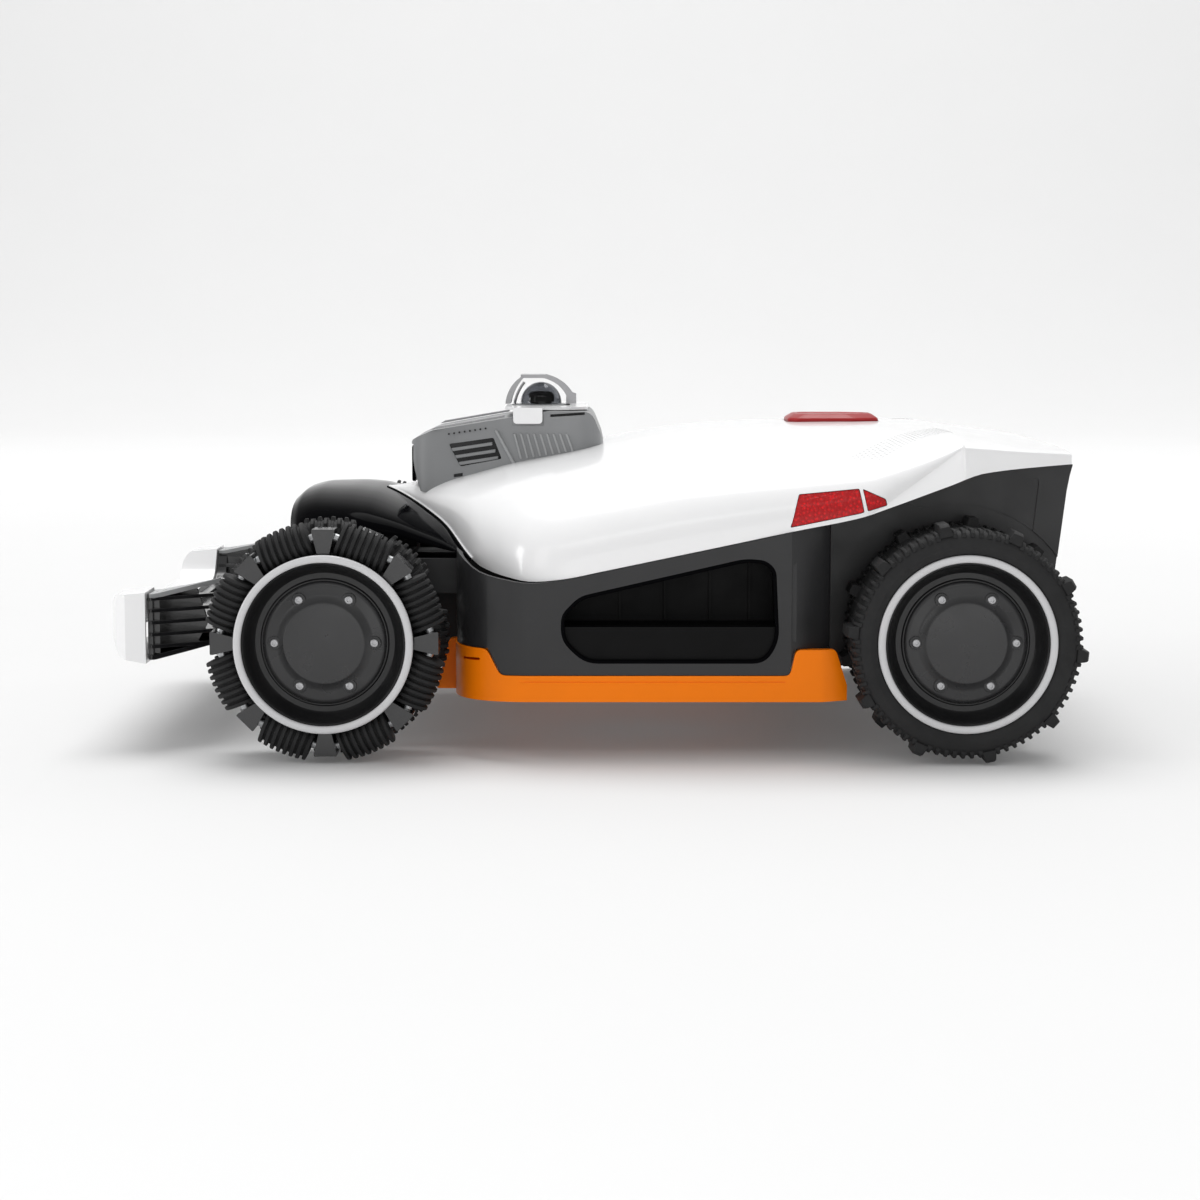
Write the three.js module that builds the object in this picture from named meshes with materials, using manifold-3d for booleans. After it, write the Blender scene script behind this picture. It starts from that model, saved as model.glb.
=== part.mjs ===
// Robotic lawn mower: a four-wheel-drive mower with ribbed omni wheels at the front, a white
// bonnet over a dark tub, orange skirts, a sensor head with a spinning range finder, a sprung
// bumper, a rocking front axle and a height-adjustable deck with two blade discs.
// Millimetres, +Z up, front towards -X, left side towards -Y, wheels standing on Z = 0.
import * as THREE from 'three';
import { mergeVertices } from 'three/addons/utils/BufferGeometryUtils.js';
import Module from 'manifold-3d';

const wasm = await Module();
wasm.setup();

// ---- driving dimensions -------------------------------------------------------------------
const GAP = 0.4;                    // clearance between neighbouring pieces
const WHEEL_R = 85;
const TYRE_FACETS = 40;
const TRACK_OUT = 256;              // outer faces of all four wheels
const FRONT_AXLE = { x: -185, z: 85, inner: 178 };
const REAR_AXLE = { x: 261, z: 85, inner: 180 };
const HALF_LENGTH = 346;            // bumper face and rear tyre edge both reach it

const RING_R = 62.2;                // light trim ring on each wheel
const RING_HOLE_R = 57;
const CAP_R = 43;                   // hub cap
const CAP_PLATEAU_R = 30;
const CAP_DEPTH = 12;               // hub cap face, below the trim ring
const SCREW_CIRCLE_R = 34.6;
const SCREWS = 6;

const ROLLERS = 8;                  // in each of an omni wheel's two rows
const ROLLER_AXIS_R = 70;
const ROLLER_LENGTH = 38;
const OUTER_ROW_Y = 235.5;
const INNER_ROW_Y = 196.5;

const BODY_HALF = 235;              // flank of the side panels
const WALL = 3.2;
const SKIRT_BOTTOM = 42.4;
const SKIRT_TOP = 60.8;
const SKIRT_END_TOP = 79.1;

const DECK_Z = 66;                  // underside of the deck plate at the middle cutting height
const DECK_X = 32;
const DISC_Y = 93;
const DISC_R = 70;
const BLADE_PIVOT_R = 60;
const BLADES = 3;

const LIDAR_X = -39.5;
const DOME_R = 16;

// Bonnet stations from its front tip to the tail: [x, half width, edge height, crest height].
const BONNET = [
  [-158, 3, 177.5, 179], [-150, 14, 175, 179.8], [-140, 33, 171.6, 181.5], [-125, 65, 165.3, 185],
  [-107, 110, 156, 190], [-91, 160, 142, 193.5], [-85, 176, 137, 195], [-77.5, 190, 132.8, 197],
  [-60.5, 213, 128.6, 201.5], [-42.5, 227, 126.2, 205], [-21.5, 233, 128.1, 209],
  [6.5, 235, 133.8, 214.5], [76, 235, 148.3, 226], [145.5, 233, 162.7, 229.5],
  [189, 227, 171, 230], [207.5, 224, 177, 230], [251.5, 215, 192.2, 228.3], [277.5, 208, 200.8, 225.3],
  [319.5, 198, 205, 219.2], [342, 188, 206.2, 216.4],
];
const BONNET_ROUND = 2.6;           // superellipse exponent of its cross section

// Nose stations under the visor: [x, half width, edge height, crest height].
const NOSE = [
  [-226, 88, 153, 173], [-219, 106, 151, 178.5], [-205, 124, 150, 181.3], [-185, 138, 151, 181.5],
  [-166, 147, 152.5, 179.8], [-158, 149, 152.5, 177.6], [-150, 151, 152.5, 175], [-140, 154, 151.5, 171.6],
  [-125, 158, 147.8, 165.6], [-107, 162.5, 143.2, 157.8], [-91, 168, 140.4, 143.2], [-86, 170, 139.4, 141.4],
];
const NOSE_ROUND = 2.6;

// ---- materials ----------------------------------------------------------------------------
const paint = (color, roughness, metalness = 0) =>
  new THREE.MeshStandardMaterial({ color, roughness, metalness });
const WHITE = paint(0xf4f4f4, 0.22);
const SHELL_GREY = paint(0x3a3b3d, 0.45);
const TUB_BLACK = paint(0x1c1d1f, 0.6);
const GLOSS_BLACK = paint(0x08080a, 0.08);
const ORANGE = paint(0xe87505, 0.35);
const HEAD_GREY = paint(0x7b7d80, 0.4);
const RED = paint(0xb01c20, 0.3);
const RUBBER = paint(0x1d1d1e, 0.85);
const HUB_GREY = paint(0x4e5052, 0.45);
const METAL = paint(0xa8aaac, 0.3, 1);
const GLASS = paint(0x9aa0a5, 0.05);

// ---- helpers ------------------------------------------------------------------------------
function solid(geometry) {
  const bare = geometry.clone();
  bare.deleteAttribute('normal');
  bare.deleteAttribute('uv');
  const merged = mergeVertices(bare, 1e-4);
  const build = (triVerts) => new wasm.Manifold(new wasm.Mesh({
    numProp: 3,
    vertProperties: new Float32Array(merged.attributes.position.array),
    triVerts: new Uint32Array(triVerts),
  }));
  const body = build(merged.index.array);
  return body.volume() < 0 ? build([...merged.index.array].reverse()) : body;
}

function geometryOf(manifold) {
  const mesh = manifold.getMesh();
  const geometry = new THREE.BufferGeometry();
  geometry.setAttribute('position', new THREE.BufferAttribute(mesh.vertProperties, 3));
  geometry.setIndex(new THREE.BufferAttribute(mesh.triVerts, 1));
  geometry.computeVertexNormals();
  return geometry;
}

const join = (...pieces) => pieces.reduce((all, piece) => all.add(piece));
const cut = (body, ...tools) => tools.reduce((rest, tool) => rest.subtract(tool), body);

function moved(geometry, x, y, z) {
  return geometry.translate(x, y, z);
}

function block(x0, x1, y0, y1, z0, z1) {
  const geometry = new THREE.BoxGeometry(x1 - x0, y1 - y0, z1 - z0);
  return solid(moved(geometry, (x0 + x1) / 2, (y0 + y1) / 2, (z0 + z1) / 2));
}

function outline(points) {
  return new THREE.Shape(points.map(([a, b]) => new THREE.Vector2(a, b)));
}

// A side outline in X and Z, pushed from y0 to y1.
function sidePrism(shape, y0, y1, curveSegments = 6) {
  const geometry = new THREE.ExtrudeGeometry(shape, { depth: y1 - y0, bevelEnabled: false, curveSegments });
  geometry.rotateX(Math.PI / 2);
  return solid(moved(geometry, 0, y1, 0));
}

// A front outline in Y and Z, pushed from x0 to x1.
function frontPrism(shape, x0, x1) {
  const geometry = new THREE.ExtrudeGeometry(shape, { depth: x1 - x0, bevelEnabled: false });
  geometry.rotateX(Math.PI / 2).rotateZ(Math.PI / 2);
  return solid(moved(geometry, x0, 0, 0));
}

// A plan outline in X and Y, pushed from z0 to z1.
function planPrism(shape, z0, z1, curveSegments = 6) {
  const geometry = new THREE.ExtrudeGeometry(shape, { depth: z1 - z0, bevelEnabled: false, curveSegments });
  return solid(moved(geometry, 0, 0, z0));
}

// A turned piece about Y: profile points are [radius, y], starting and ending on the axis or closing.
function turnedY(profile, segments) {
  const geometry = new THREE.LatheGeometry(profile.map(([r, y]) => new THREE.Vector2(r, y)), segments);
  geometry.rotateY(Math.PI / segments);
  return geometry;
}

function turnedZ(profile, segments) {
  const geometry = new THREE.LatheGeometry(profile.map(([r, z]) => new THREE.Vector2(r, z)), segments);
  geometry.rotateX(Math.PI / 2);
  return geometry;
}

const rodY = (r, y0, y1, x, z, n = 20) =>
  solid(moved(new THREE.CylinderGeometry(r, r, y1 - y0, n), x, (y0 + y1) / 2, z));
const rodZ = (r, z0, z1, x, y, n = 20) =>
  solid(moved(new THREE.CylinderGeometry(r, r, z1 - z0, n).rotateX(Math.PI / 2), x, y, (z0 + z1) / 2));
const rodX = (r, x0, x1, y, z, n = 20) =>
  solid(moved(new THREE.CylinderGeometry(r, r, x1 - x0, n).rotateZ(Math.PI / 2), (x0 + x1) / 2, y, z));

const mirrored = (body) => body.mirror([0, 1, 0]);
const onSide = (body, side) => (side < 0 ? body : mirrored(body));

// A skin through equal rings of points, closed at both ends.
function loft(rings) {
  const count = rings[0].length;
  const positions = rings.flat().flatMap((p) => [p.x, p.y, p.z]);
  const index = [];
  for (let i = 0; i < rings.length - 1; i += 1) {
    for (let j = 0; j < count; j += 1) {
      const a = i * count + j;
      const b = i * count + (j + 1) % count;
      index.push(a, b, a + count, b, b + count, a + count);
    }
  }
  const cap = (ring, start, flip) => {
    const flat = ring.map((p) => new THREE.Vector2(p.y, p.z));
    THREE.ShapeUtils.triangulateShape(flat, []).forEach(([a, b, c]) => {
      index.push(...(flip ? [start + a, start + c, start + b] : [start + a, start + b, start + c]));
    });
  };
  cap(rings[0], 0, true);
  cap(rings.at(-1), (rings.length - 1) * count, false);
  const geometry = new THREE.BufferGeometry();
  geometry.setAttribute('position', new THREE.Float32BufferAttribute(positions, 3));
  geometry.setIndex(index);
  return solid(geometry);
}

// One arched cross section: a superellipse over a flat base.
function arch(x, half, edge, crest, round, steps = 12) {
  const ring = [];
  for (let i = 0; i <= steps; i += 1) {
    const t = Math.PI * (i / steps);
    const y = half * Math.sign(Math.cos(t)) * Math.abs(Math.cos(t)) ** (2 / round);
    ring.push(new THREE.Vector3(x, y, edge + (crest - edge) * Math.sin(t) ** (2 / round)));
  }
  return ring;
}

// The arched body through a list of stations, shrunk by inset, with its base lowered by drop.
function archedBody(stations, round, inset = 0, drop = 0) {
  return loft(stations.map(([x, half, edge, crest]) =>
    arch(x, Math.max(half - inset, 0.5), edge - drop, crest - inset, round)));
}

// ---- wheels -------------------------------------------------------------------------------
function hubCap(outerY) {
  const face = outerY - CAP_DEPTH;
  const cap = solid(turnedY([
    [0, face - 4], [CAP_R, face - 4], [CAP_R, face - 1.2], [CAP_R - 2, face],
    [CAP_PLATEAU_R + 3, face - 0.4], [CAP_PLATEAU_R, face + 1.6], [0, face + 1.6],
  ], 18));
  const screws = Array.from({ length: SCREWS }, (_, k) => {
    const angle = (k / SCREWS) * 2 * Math.PI;
    return rodY(3.4, face - 2, face + 1.2, SCREW_CIRCLE_R * Math.cos(angle),
      SCREW_CIRCLE_R * Math.sin(angle), 6);
  });
  return join(cap, ...screws);
}

// The tread has a flat facet at the bottom, so that the tyre stands firmly.
function rearTyre(inner, outer) {
  const shoulder = 6;
  const tread = WHEEL_R / Math.cos(Math.PI / TYRE_FACETS);
  return solid(turnedY([
    [60.3, inner + 4], [64, inner], [79, inner], [tread, inner + shoulder], [tread, outer - shoulder],
    [79, outer - 0.6], [64, outer - 0.6], [64, outer - 4.2], [60.3, outer - 9], [60.3, inner + 4],
  ], TYRE_FACETS));
}

function rearRim(inner, outer) {
  const floor = outer - CAP_DEPTH - 4 - GAP;
  return solid(turnedY([
    [13, inner], [34, inner], [36, inner + 8], [55, inner + 8], [59.9, inner + 4.2],
    [59.9, outer - 7.6], [RING_R, outer - 3], [RING_R, outer], [RING_HOLE_R, outer],
    [50, floor], [0, floor], [0, inner + 20], [13, inner + 20], [13, inner],
  ], 20));
}

// Barrel roller along its own Y axis: its outside follows the wheel's circle, and its middle is
// straight, so that the roller under a wheel stands on a flat facet.
function rollerBarrel(segments) {
  const half = ROLLER_LENGTH / 2;
  const middle = (WHEEL_R - ROLLER_AXIS_R) / Math.cos(Math.PI / segments);
  const end = Math.sqrt(WHEEL_R ** 2 - half ** 2) - ROLLER_AXIS_R;
  const straight = ROLLER_LENGTH * 0.18;
  return turnedY([
    [0, -half], [end, -half], [middle, -straight], [middle, straight], [end, half], [0, half],
  ], segments);
}

// Places a barrel on the rim circle at an angle, with its axis tangential to the wheel.
function onRim(geometry, angle, rowY) {
  return geometry
    .rotateZ(Math.PI / 2)
    .translate(0, 0, ROLLER_AXIS_R)
    .rotateY(Math.PI / 2 - angle)
    .translate(0, rowY, 0);
}

const rowAngle = (k, phase) => ((k + phase) / ROLLERS) * 2 * Math.PI;

// Wedge bracket between two rollers of a row.
function bracket(angle, rowY) {
  const shape = outline([[-3.6, 48], [3.6, 48], [4.2, 61], [7.6, 79], [-7.6, 79], [-4.2, 61]]);
  const geometry = new THREE.ExtrudeGeometry(shape, { depth: 22, bevelEnabled: false })
    .translate(0, 0, -11)
    .rotateX(Math.PI / 2)
    .rotateY(Math.PI / 2 - angle)
    .translate(0, rowY, 0);
  return solid(geometry);
}

function omniCore(inner, outer) {
  const floor = outer - CAP_DEPTH - 4 - GAP;
  const middle = (OUTER_ROW_Y + INNER_ROW_Y) / 2;
  const core = solid(turnedY([
    [13, inner], [57, inner + 1], [57, middle - 2], [60, middle - 2], [60, middle + 2],
    [53.4, middle + 3], [53.4, outer - 4.2], [RING_R, outer - 3.8], [RING_R, outer],
    [RING_HOLE_R, outer], [49, floor], [0, floor], [0, inner + 20], [13, inner + 20], [13, inner],
  ], 20));
  const parts = [];
  for (let k = 0; k < ROLLERS; k += 1) {
    parts.push(bracket(rowAngle(k, 0), OUTER_ROW_Y));
    parts.push(solid(onRim(rollerBarrel(8), rowAngle(k, 0), INNER_ROW_Y)));
  }
  return join(core, ...parts);
}

// ---- bonnet, flanks and skirts ------------------------------------------------------------
const bonnetSolid = archedBody(BONNET, BONNET_ROUND);
const bonnetInner = archedBody(BONNET.slice(3), BONNET_ROUND, WALL, 12);

const reflectorShape = (grow) => outline([
  [145.5 - grow, 187 + grow], [186, 190.5 + grow], [193.5, 189 + grow], [206 + grow, 183.5],
  [207 + grow, 179.5 - grow], [187, 174 - grow], [139.5 - grow, 165 - grow],
]);
const STOP = { x0: 151.5, x1: 222.5, half: 28, base: 224.6, top: 235.8 };

function stopShape(grow) {
  const { x0, x1, half } = STOP;
  const c = 7;
  return outline([
    [x0 - grow, -half + c], [x0 + c, -half - grow], [x1 - c, -half - grow], [x1 + grow, -half + c],
    [x1 + grow, half - c], [x1 - c, half + grow], [x0 + c, half + grow], [x0 - grow, half - c],
  ]);
}

const bonnetSkin = cut(bonnetSolid, bonnetInner);
const topShell = cut(
  bonnetSkin,
  ...[-1, 1].map((side) => onSide(sidePrism(reflectorShape(GAP), -260, -190), side)),
  planPrism(stopShape(0.8), 200, 240),
);
const reflector = (side) =>
  onSide(bonnetSkin.intersect(sidePrism(reflectorShape(0), -260, -190)), side);

const stationAt = (stations, x, column) => {
  const i = Math.min(Math.max(stations.findIndex((row) => row[0] > x), 1), stations.length - 1);
  const [a, b] = [stations[i - 1], stations[i]];
  return a[column] + (b[column] - a[column]) * (x - a[0]) / (b[0] - a[0]);
};
const bonnetEdge = (x) => stationAt(BONNET, x, 2);
const edgePoints = (x0, x1) => [
  [x0, bonnetEdge(x0) - GAP],
  ...BONNET.filter(([x]) => x > x0 && x < x1).map(([x, , edge]) => [x, edge - GAP]),
  [x1, bonnetEdge(x1) - GAP],
];

const PANEL_X0 = -96;
const PANEL_X1 = 168;
const FRONT_CORNER = 52;            // plan radius of the flank's front corner

// Plan of the flank between the wheels, shrunk by inset: a straight side with a round front corner.
function flankPlan(inset, innerY, x1 = PANEL_X1) {
  const shape = new THREE.Shape();
  const y = BODY_HALF - inset;
  shape.moveTo(PANEL_X0 + inset, -innerY);
  shape.lineTo(PANEL_X0 + inset, -(y - FRONT_CORNER));
  shape.quadraticCurveTo(PANEL_X0 + inset + 6, -y + 6, PANEL_X0 + inset + FRONT_CORNER, -y);
  shape.lineTo(x1 - 28, -y);
  shape.lineTo(x1, -(y - 14));
  shape.lineTo(x1, -innerY);
  return shape;
}

const recessWindow = (grow) => outline([
  [-20 - grow, 103.3], [-7.5 - grow, 116 + grow], [108 , 142.4 + grow], [122, 141 + grow],
  [128.5 + grow, 134.9], [130.9 + grow, 85.8], [122 + grow, 70.2 - grow], [-4 - grow, 70.2 - grow],
  [-20.1 - grow, 85.8],
]);
const RECESS_DEPTH = 42;
const LEDGE_TOP = 95;

function sidePanelLeft() {
  const face = outline([
    [PANEL_X0, SKIRT_END_TOP + GAP], [-72.4, SKIRT_END_TOP + GAP], [-62.8, SKIRT_TOP + GAP],
    [138.7, SKIRT_TOP + GAP], [142.8, SKIRT_END_TOP + GAP], [PANEL_X1, SKIRT_END_TOP + GAP],
    ...edgePoints(PANEL_X0, PANEL_X1).reverse(),
  ]);
  const whole = sidePrism(face, -BODY_HALF - 1, -176).intersect(planPrism(flankPlan(0, 177), 40, 200));
  const hollow = cut(
    planPrism(flankPlan(4, 170, PANEL_X1 - 4), 40, 200),
    sidePrism(recessWindow(3.5), -BODY_HALF, -(BODY_HALF - RECESS_DEPTH - 3.5)),
  );
  const pocket = sidePrism(recessWindow(0), -BODY_HALF - 2, -(BODY_HALF - RECESS_DEPTH))
    .intersect(block(-60, 160, -250, -150, LEDGE_TOP, 160));
  const ledgeInset = sidePrism(recessWindow(0), -BODY_HALF - 2, -(BODY_HALF - 3));
  return cut(whole, hollow, pocket, ledgeInset);
}

const TOE_Y = 167;                  // the skirt's front toe passes inside the front wheel

function skirtLeft() {
  const face = outline([
    [-98, SKIRT_END_TOP], [-73, SKIRT_END_TOP], [-63.4, SKIRT_TOP], [139.3, SKIRT_TOP],
    [143.4, SKIRT_END_TOP], [171.5, SKIRT_END_TOP], [183.5, SKIRT_BOTTOM], [-98, SKIRT_BOTTOM],
  ]);
  const band = cut(
    planPrism(flankPlan(-1, 160, 190), 30, 90),
    planPrism(flankPlan(8, 150, 220), 20, 100),
  );
  const toe = outline([
    [-103, SKIRT_END_TOP], [-90, SKIRT_END_TOP], [-90, SKIRT_BOTTOM], [-112, SKIRT_BOTTOM],
  ]);
  return join(sidePrism(face, -250, -150).intersect(band), sidePrism(toe, -TOE_Y, -TOE_Y + 8));
}

// ---- nose, tub and tail -------------------------------------------------------------------
function bonnetPlan(grow) {
  const rows = BONNET.slice(0, 10);
  const left = rows.map(([x, half]) => [x - grow, -half - grow]);
  return outline([...left, ...left.map(([x, y]) => [x, -y]).reverse()]);
}

function noseVisor() {
  const outer = archedBody(NOSE, NOSE_ROUND);
  const inner = archedBody(NOSE.map(([x, ...rest], i) => [i === 0 ? x + 3 : x, ...rest]), NOSE_ROUND, 3, 12);
  return cut(outer, inner, planPrism(bonnetPlan(GAP), 100, 240));
}

const RAIL_Y = 60;                  // the bumper's two rails slide through the tub's front wall
const RAIL_Z0 = 121.2;
const RAIL_Z1 = 130.8;

const NOSE_FLOOR = 116;
const BAY_ROOF = 112;

function chassisTub() {
  const shellOf = (inset, top) => join(
    block(-150 + inset, -86 - inset, -118 + inset, 118 - inset, 58 + inset, top),
    block(-206 + inset, -86 - inset, -126 + inset, 126 - inset, NOSE_FLOOR + inset, top),
    block(-150 + inset, 160 + inset, -168 + inset, 168 - inset, BAY_ROOF + inset, top),
    block(150 + inset, 322 - inset, -146 + inset, 146 - inset, 56 + inset, top),
  );
  const top = 137;
  return cut(
    join(shellOf(0, top), block(-150, -132, -20, 20, 60, 120)),
    cut(shellOf(4, top + 20), block(-151, -132, -20, 20, 60, 116)),
    rodX(8.6, -152, -130, 0, FRONT_AXLE.z, 20),
    rodY(13, -150, 150, REAR_AXLE.x, REAR_AXLE.z, 20),
    ...[-RAIL_Y, RAIL_Y].map((y) => block(-210, -196, y - 8.6, y + 8.6, RAIL_Z0 - 0.6, RAIL_Z1 + 0.6)),
    ...[-1, 1].map((side) => rodZ(7.6, 100, 130, DECK_X, side * 150, 16)),
  );
}

function rearHousing() {
  const x0 = 172.5;
  const face = outline([
    [x0, 60], ...edgePoints(x0, 341.5), [345.6, 204.6], [343.5, 197], [341.5, 186], [334.5, 128],
    [327, 60],
  ]);
  const inner = outline([
    [x0 - 10, 50], ...edgePoints(x0 - 10, 333).map(([x, z]) => [x, z - 4]), [337, 186], [330.5, 128],
    [323.5, 50],
  ]);
  return cut(
    sidePrism(face, -172, 172), sidePrism(inner, -168.5, 168.5),
    rodY(15, -180, 180, REAR_AXLE.x, REAR_AXLE.z, 24),
    sidePrism(portShape(GAP), -30.4, 30.4),
  );
}

// Charging hatch in the tail, seen from the side.
function portShape(grow) {
  return outline([
    [344.4 + grow, 181 + grow], [340.3 + grow, 149.5 - grow], [334 - grow, 149.5 - grow],
    [337.5 - grow, 181 + grow],
  ]);
}

// Gear motor in the tub, with the output shaft that carries a rear wheel.
function rearMotor(side) {
  return onSide(join(
    rodY(24, -141, -84, REAR_AXLE.x, REAR_AXLE.z, 20),
    rodY(12, -REAR_AXLE.inner - 16, -140, REAR_AXLE.x, REAR_AXLE.z, 16),
  ), side);
}

// ---- sensor head --------------------------------------------------------------------------
const HEAD_HALF = 70;
const headSide = (inset) => outline([
  [-138 + inset, 216 - inset], [-135.6 + inset, 195], [-130.5 + inset, 178 + inset],
  [9 - inset, 190 + inset], [9 - inset, 217], [0 - inset, 239 - inset], [-31.5, 239.4 - inset],
  [-65, 234 - inset], [-121, 224.5 - inset], [-134 + inset, 218.6 - inset],
]);
const headPlan = (inset) => outline([
  [-140 + inset, -46], [-132 + inset, -56 + inset], [-96, -66 + inset], [-50, -HEAD_HALF + inset],
  [-14, -HEAD_HALF + inset], [4 - inset, -60 + inset], [12 - inset, -40],
  [12 - inset, 40], [4 - inset, 60 - inset], [-14, HEAD_HALF - inset],
  [-50, HEAD_HALF - inset], [-96, 66 - inset], [-132 + inset, 56 - inset], [-140 + inset, 46],
]);
const DOME_BASE = 242.6;
const COVER = { x0: -66, x1: -3, half: 58, z0: 239.8, z1: 242 };

function headHousing() {
  const grown = archedBody(BONNET.slice(0, 14), BONNET_ROUND, -GAP);
  const body = sidePrism(headSide(0), -90, 90).intersect(planPrism(headPlan(0), 150, 260));
  const inside = sidePrism(headSide(4), -90, 90).intersect(planPrism(headPlan(4), 100, 260));
  const window = block(-150, -134.2, -44, 44, 184, 213);
  const tabs = [-1, 1].map((s) => onSide(block(-60, -36, -90, -HEAD_HALF + 2.2, 229, 250), s));
  const grownNose = archedBody(NOSE, NOSE_ROUND, -GAP);
  return cut(body, grown, grownNose, cut(inside, block(-150, -128, -60, 60, 100, 260)), window, ...tabs);
}

const cameraWindow = () => solid(moved(new THREE.BoxGeometry(3, 87, 28), -136.2, 0, 198.5));

// White plate on the head, hooked over both sides, with the raised seat of the range finder.
function headCover() {
  const { x0, x1, half, z0, z1 } = COVER;
  const plate = planPrism(outline([
    [x0, -half + 8], [x0 + 8, -half], [x1 - 12, -half], [x1, -half + 14],
    [x1, half - 14], [x1 - 12, half], [x0 + 8, half], [x0, half - 8],
  ]), z0, z1);
  const hook = join(
    block(-59, -37, -HEAD_HALF - 1.2, -half + 4, z0, z1),
    block(-59, -37, -HEAD_HALF - 1.2, -HEAD_HALF + 1.4, 230, z1),
  );
  return join(plate, hook, mirrored(hook), rodZ(23, z1 - 0.5, DOME_BASE, LIDAR_X, 0, 24));
}

function lidarDome() {
  const wall = 1.5;
  const rim = DOME_BASE + GAP;
  const arc = (r, from, to) => Array.from({ length: 6 }, (_, i) => {
    const t = from + (to - from) * (i / 5);
    return [r * Math.cos(t), rim + 0.8 + r * Math.sin(t)];
  });
  const profile = [
    [DOME_R - wall, rim], [DOME_R, rim], ...arc(DOME_R, 0, Math.PI / 2),
    ...arc(DOME_R - wall, Math.PI / 2, 0), [DOME_R - wall, rim],
  ];
  return solid(turnedZ(profile, 16).translate(LIDAR_X, 0, 0));
}

function lidarRotor() {
  const z = DOME_BASE + GAP;
  return solid(turnedZ([
    [0, z], [8, z], [10.5, z + 1.6], [10.5, z + 7], [8.4, z + 9.6], [0, z + 9.6],
  ], 16).translate(LIDAR_X, 0, 0));
}

// Roll cage over the dome: two bowed side plates tied by bars at the front, top and rear.
function lidarGuard() {
  const foot = DOME_BASE + GAP;
  const side = (y) => {
    const shape = new THREE.Shape();
    shape.moveTo(-67, foot);
    shape.quadraticCurveTo(-65, 256, -56.5, 262.5);
    shape.lineTo(-53, 265.8);
    shape.lineTo(-36, 265.8);
    shape.quadraticCurveTo(-22, 262.5, -15, 251);
    shape.lineTo(-12.5, 250.5);
    shape.lineTo(-12, foot);
    shape.lineTo(-20.4, foot);
    shape.quadraticCurveTo(-23.5, 256.5, -37.5, 262.9);
    shape.lineTo(-53.5, 262.9);
    shape.quadraticCurveTo(-60.5, 254, -62.5, foot);
    return sidePrism(shape, y - 2, y + 2, 4);
  };
  return join(
    side(-11), side(11),
    block(-55, -36, -12, 12, 262.9, 265.8),
    block(-20.2, -12.1, -12, 12, foot, 249),
    block(-66, -62.7, -12, 12, foot, 247),
  );
}

// ---- bumper -------------------------------------------------------------------------------
const BUMPER_X = -HALF_LENGTH;
const BUMPER_HALF = 196;
const BUMPER_LOW = 92;              // top of the bar between the wheels

function bumperPlan(x0, x1, half, corner) {
  const shape = new THREE.Shape();
  shape.moveTo(x1, -half);
  shape.lineTo(x0 + corner, -half);
  shape.quadraticCurveTo(x0 + 4, -half + 8, x0, -half + corner + 16);
  shape.lineTo(x0, half - corner - 16);
  shape.quadraticCurveTo(x0 + 4, half - 8, x0 + corner, half);
  shape.lineTo(x1, half);
  return shape;
}

// The bar is high at both ends, in front of the wheels, and low between them.
function bumperProfile(inset) {
  const low = BUMPER_LOW - inset;
  return outline([
    [-220, 40], [220, 40], [220, 130], [166 + inset, 130], [140 + inset, low],
    [-140 - inset, low], [-166 - inset, 130], [-220, 130],
  ]);
}

function bumperCover() {
  const side = outline([
    [BUMPER_X, 76], [BUMPER_X + 5, 70], [-317.5, 64], [-317.5, 115], [BUMPER_X + 5, 113],
    [BUMPER_X, 106],
  ]);
  const body = sidePrism(side, -220, 220)
    .intersect(planPrism(bumperPlan(BUMPER_X, -317.5, BUMPER_HALF, 14), 50, 130))
    .intersect(frontPrism(bumperProfile(0), -360, -300));
  const hollow = planPrism(bumperPlan(BUMPER_X + 5, -310, BUMPER_HALF - 4, 12), 69, 110)
    .intersect(frontPrism(bumperProfile(4), -360, -300));
  return cut(body, hollow);
}

// Five fins on a spine between a sloping floor and a roof over each end, with two rails that
// slide in the tub's nose.
function bumperFrame() {
  const plan = outline([
    [-316, -191], [-290, -174], [-267, -156], [-258, -130], [-258, 130], [-267, 156], [-290, 174],
    [-316, 191],
  ]);
  const fins = Array.from({ length: 5 }, (_, i) => planPrism(plan, 74 + i * 8.6, 77 + i * 8.6));
  const spine = block(-317.1, -309, -186, 186, 67, 112.5);
  const body = join(spine, ...fins).intersect(frontPrism(bumperProfile(3), -330, -240));
  const floor = outline([[-316, 66], [-312, 66], [-262, 76.5], [-262, 79.5], [-312, 70], [-316, 70]]);
  const roof = outline([[-316, 110], [-312, 110], [-262, 120.2], [-262, 123.4], [-312, 113.5], [-316, 113.5]]);
  const web = outline([[-312, 75], [-286, 75], [-278, 90], [-286, 116], [-312, 111]]);
  const ends = join(sidePrism(floor, -191, 191), sidePrism(roof, -191, -157), sidePrism(roof, 157, 191))
    .intersect(planPrism(plan, 50, 140));
  return join(
    body, ends, sidePrism(web, -160, -157), sidePrism(web, 157, 160),
    ...[-RAIL_Y, RAIL_Y].map((y) => join(
      block(-264, -200, y - 8, y + 8, RAIL_Z0, RAIL_Z1), block(-264, -255, y - 8, y + 8, 74, RAIL_Z1))),
  );
}

// ---- front axle ---------------------------------------------------------------------------
function frontAxleBeam() {
  const { x, z, inner } = FRONT_AXLE;
  const web = outline([
    [x - 14, z - 12], [x + 14, z - 12], [x + 14, z + 12], [x - 14, z + 12],
  ]);
  return join(
    sidePrism(web, -168, 168),
    rodX(16, x + 10, -151, 0, z, 16),
    rodX(8, x + 10, -136, 0, z, 12),
    rodY(24, -174, -150, x, z, 20), rodY(24, 150, 174, x, z, 20),
    rodY(12, -inner - 16, -150, x, z, 16), rodY(12, 150, inner + 16, x, z, 16),
  );
}

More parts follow.
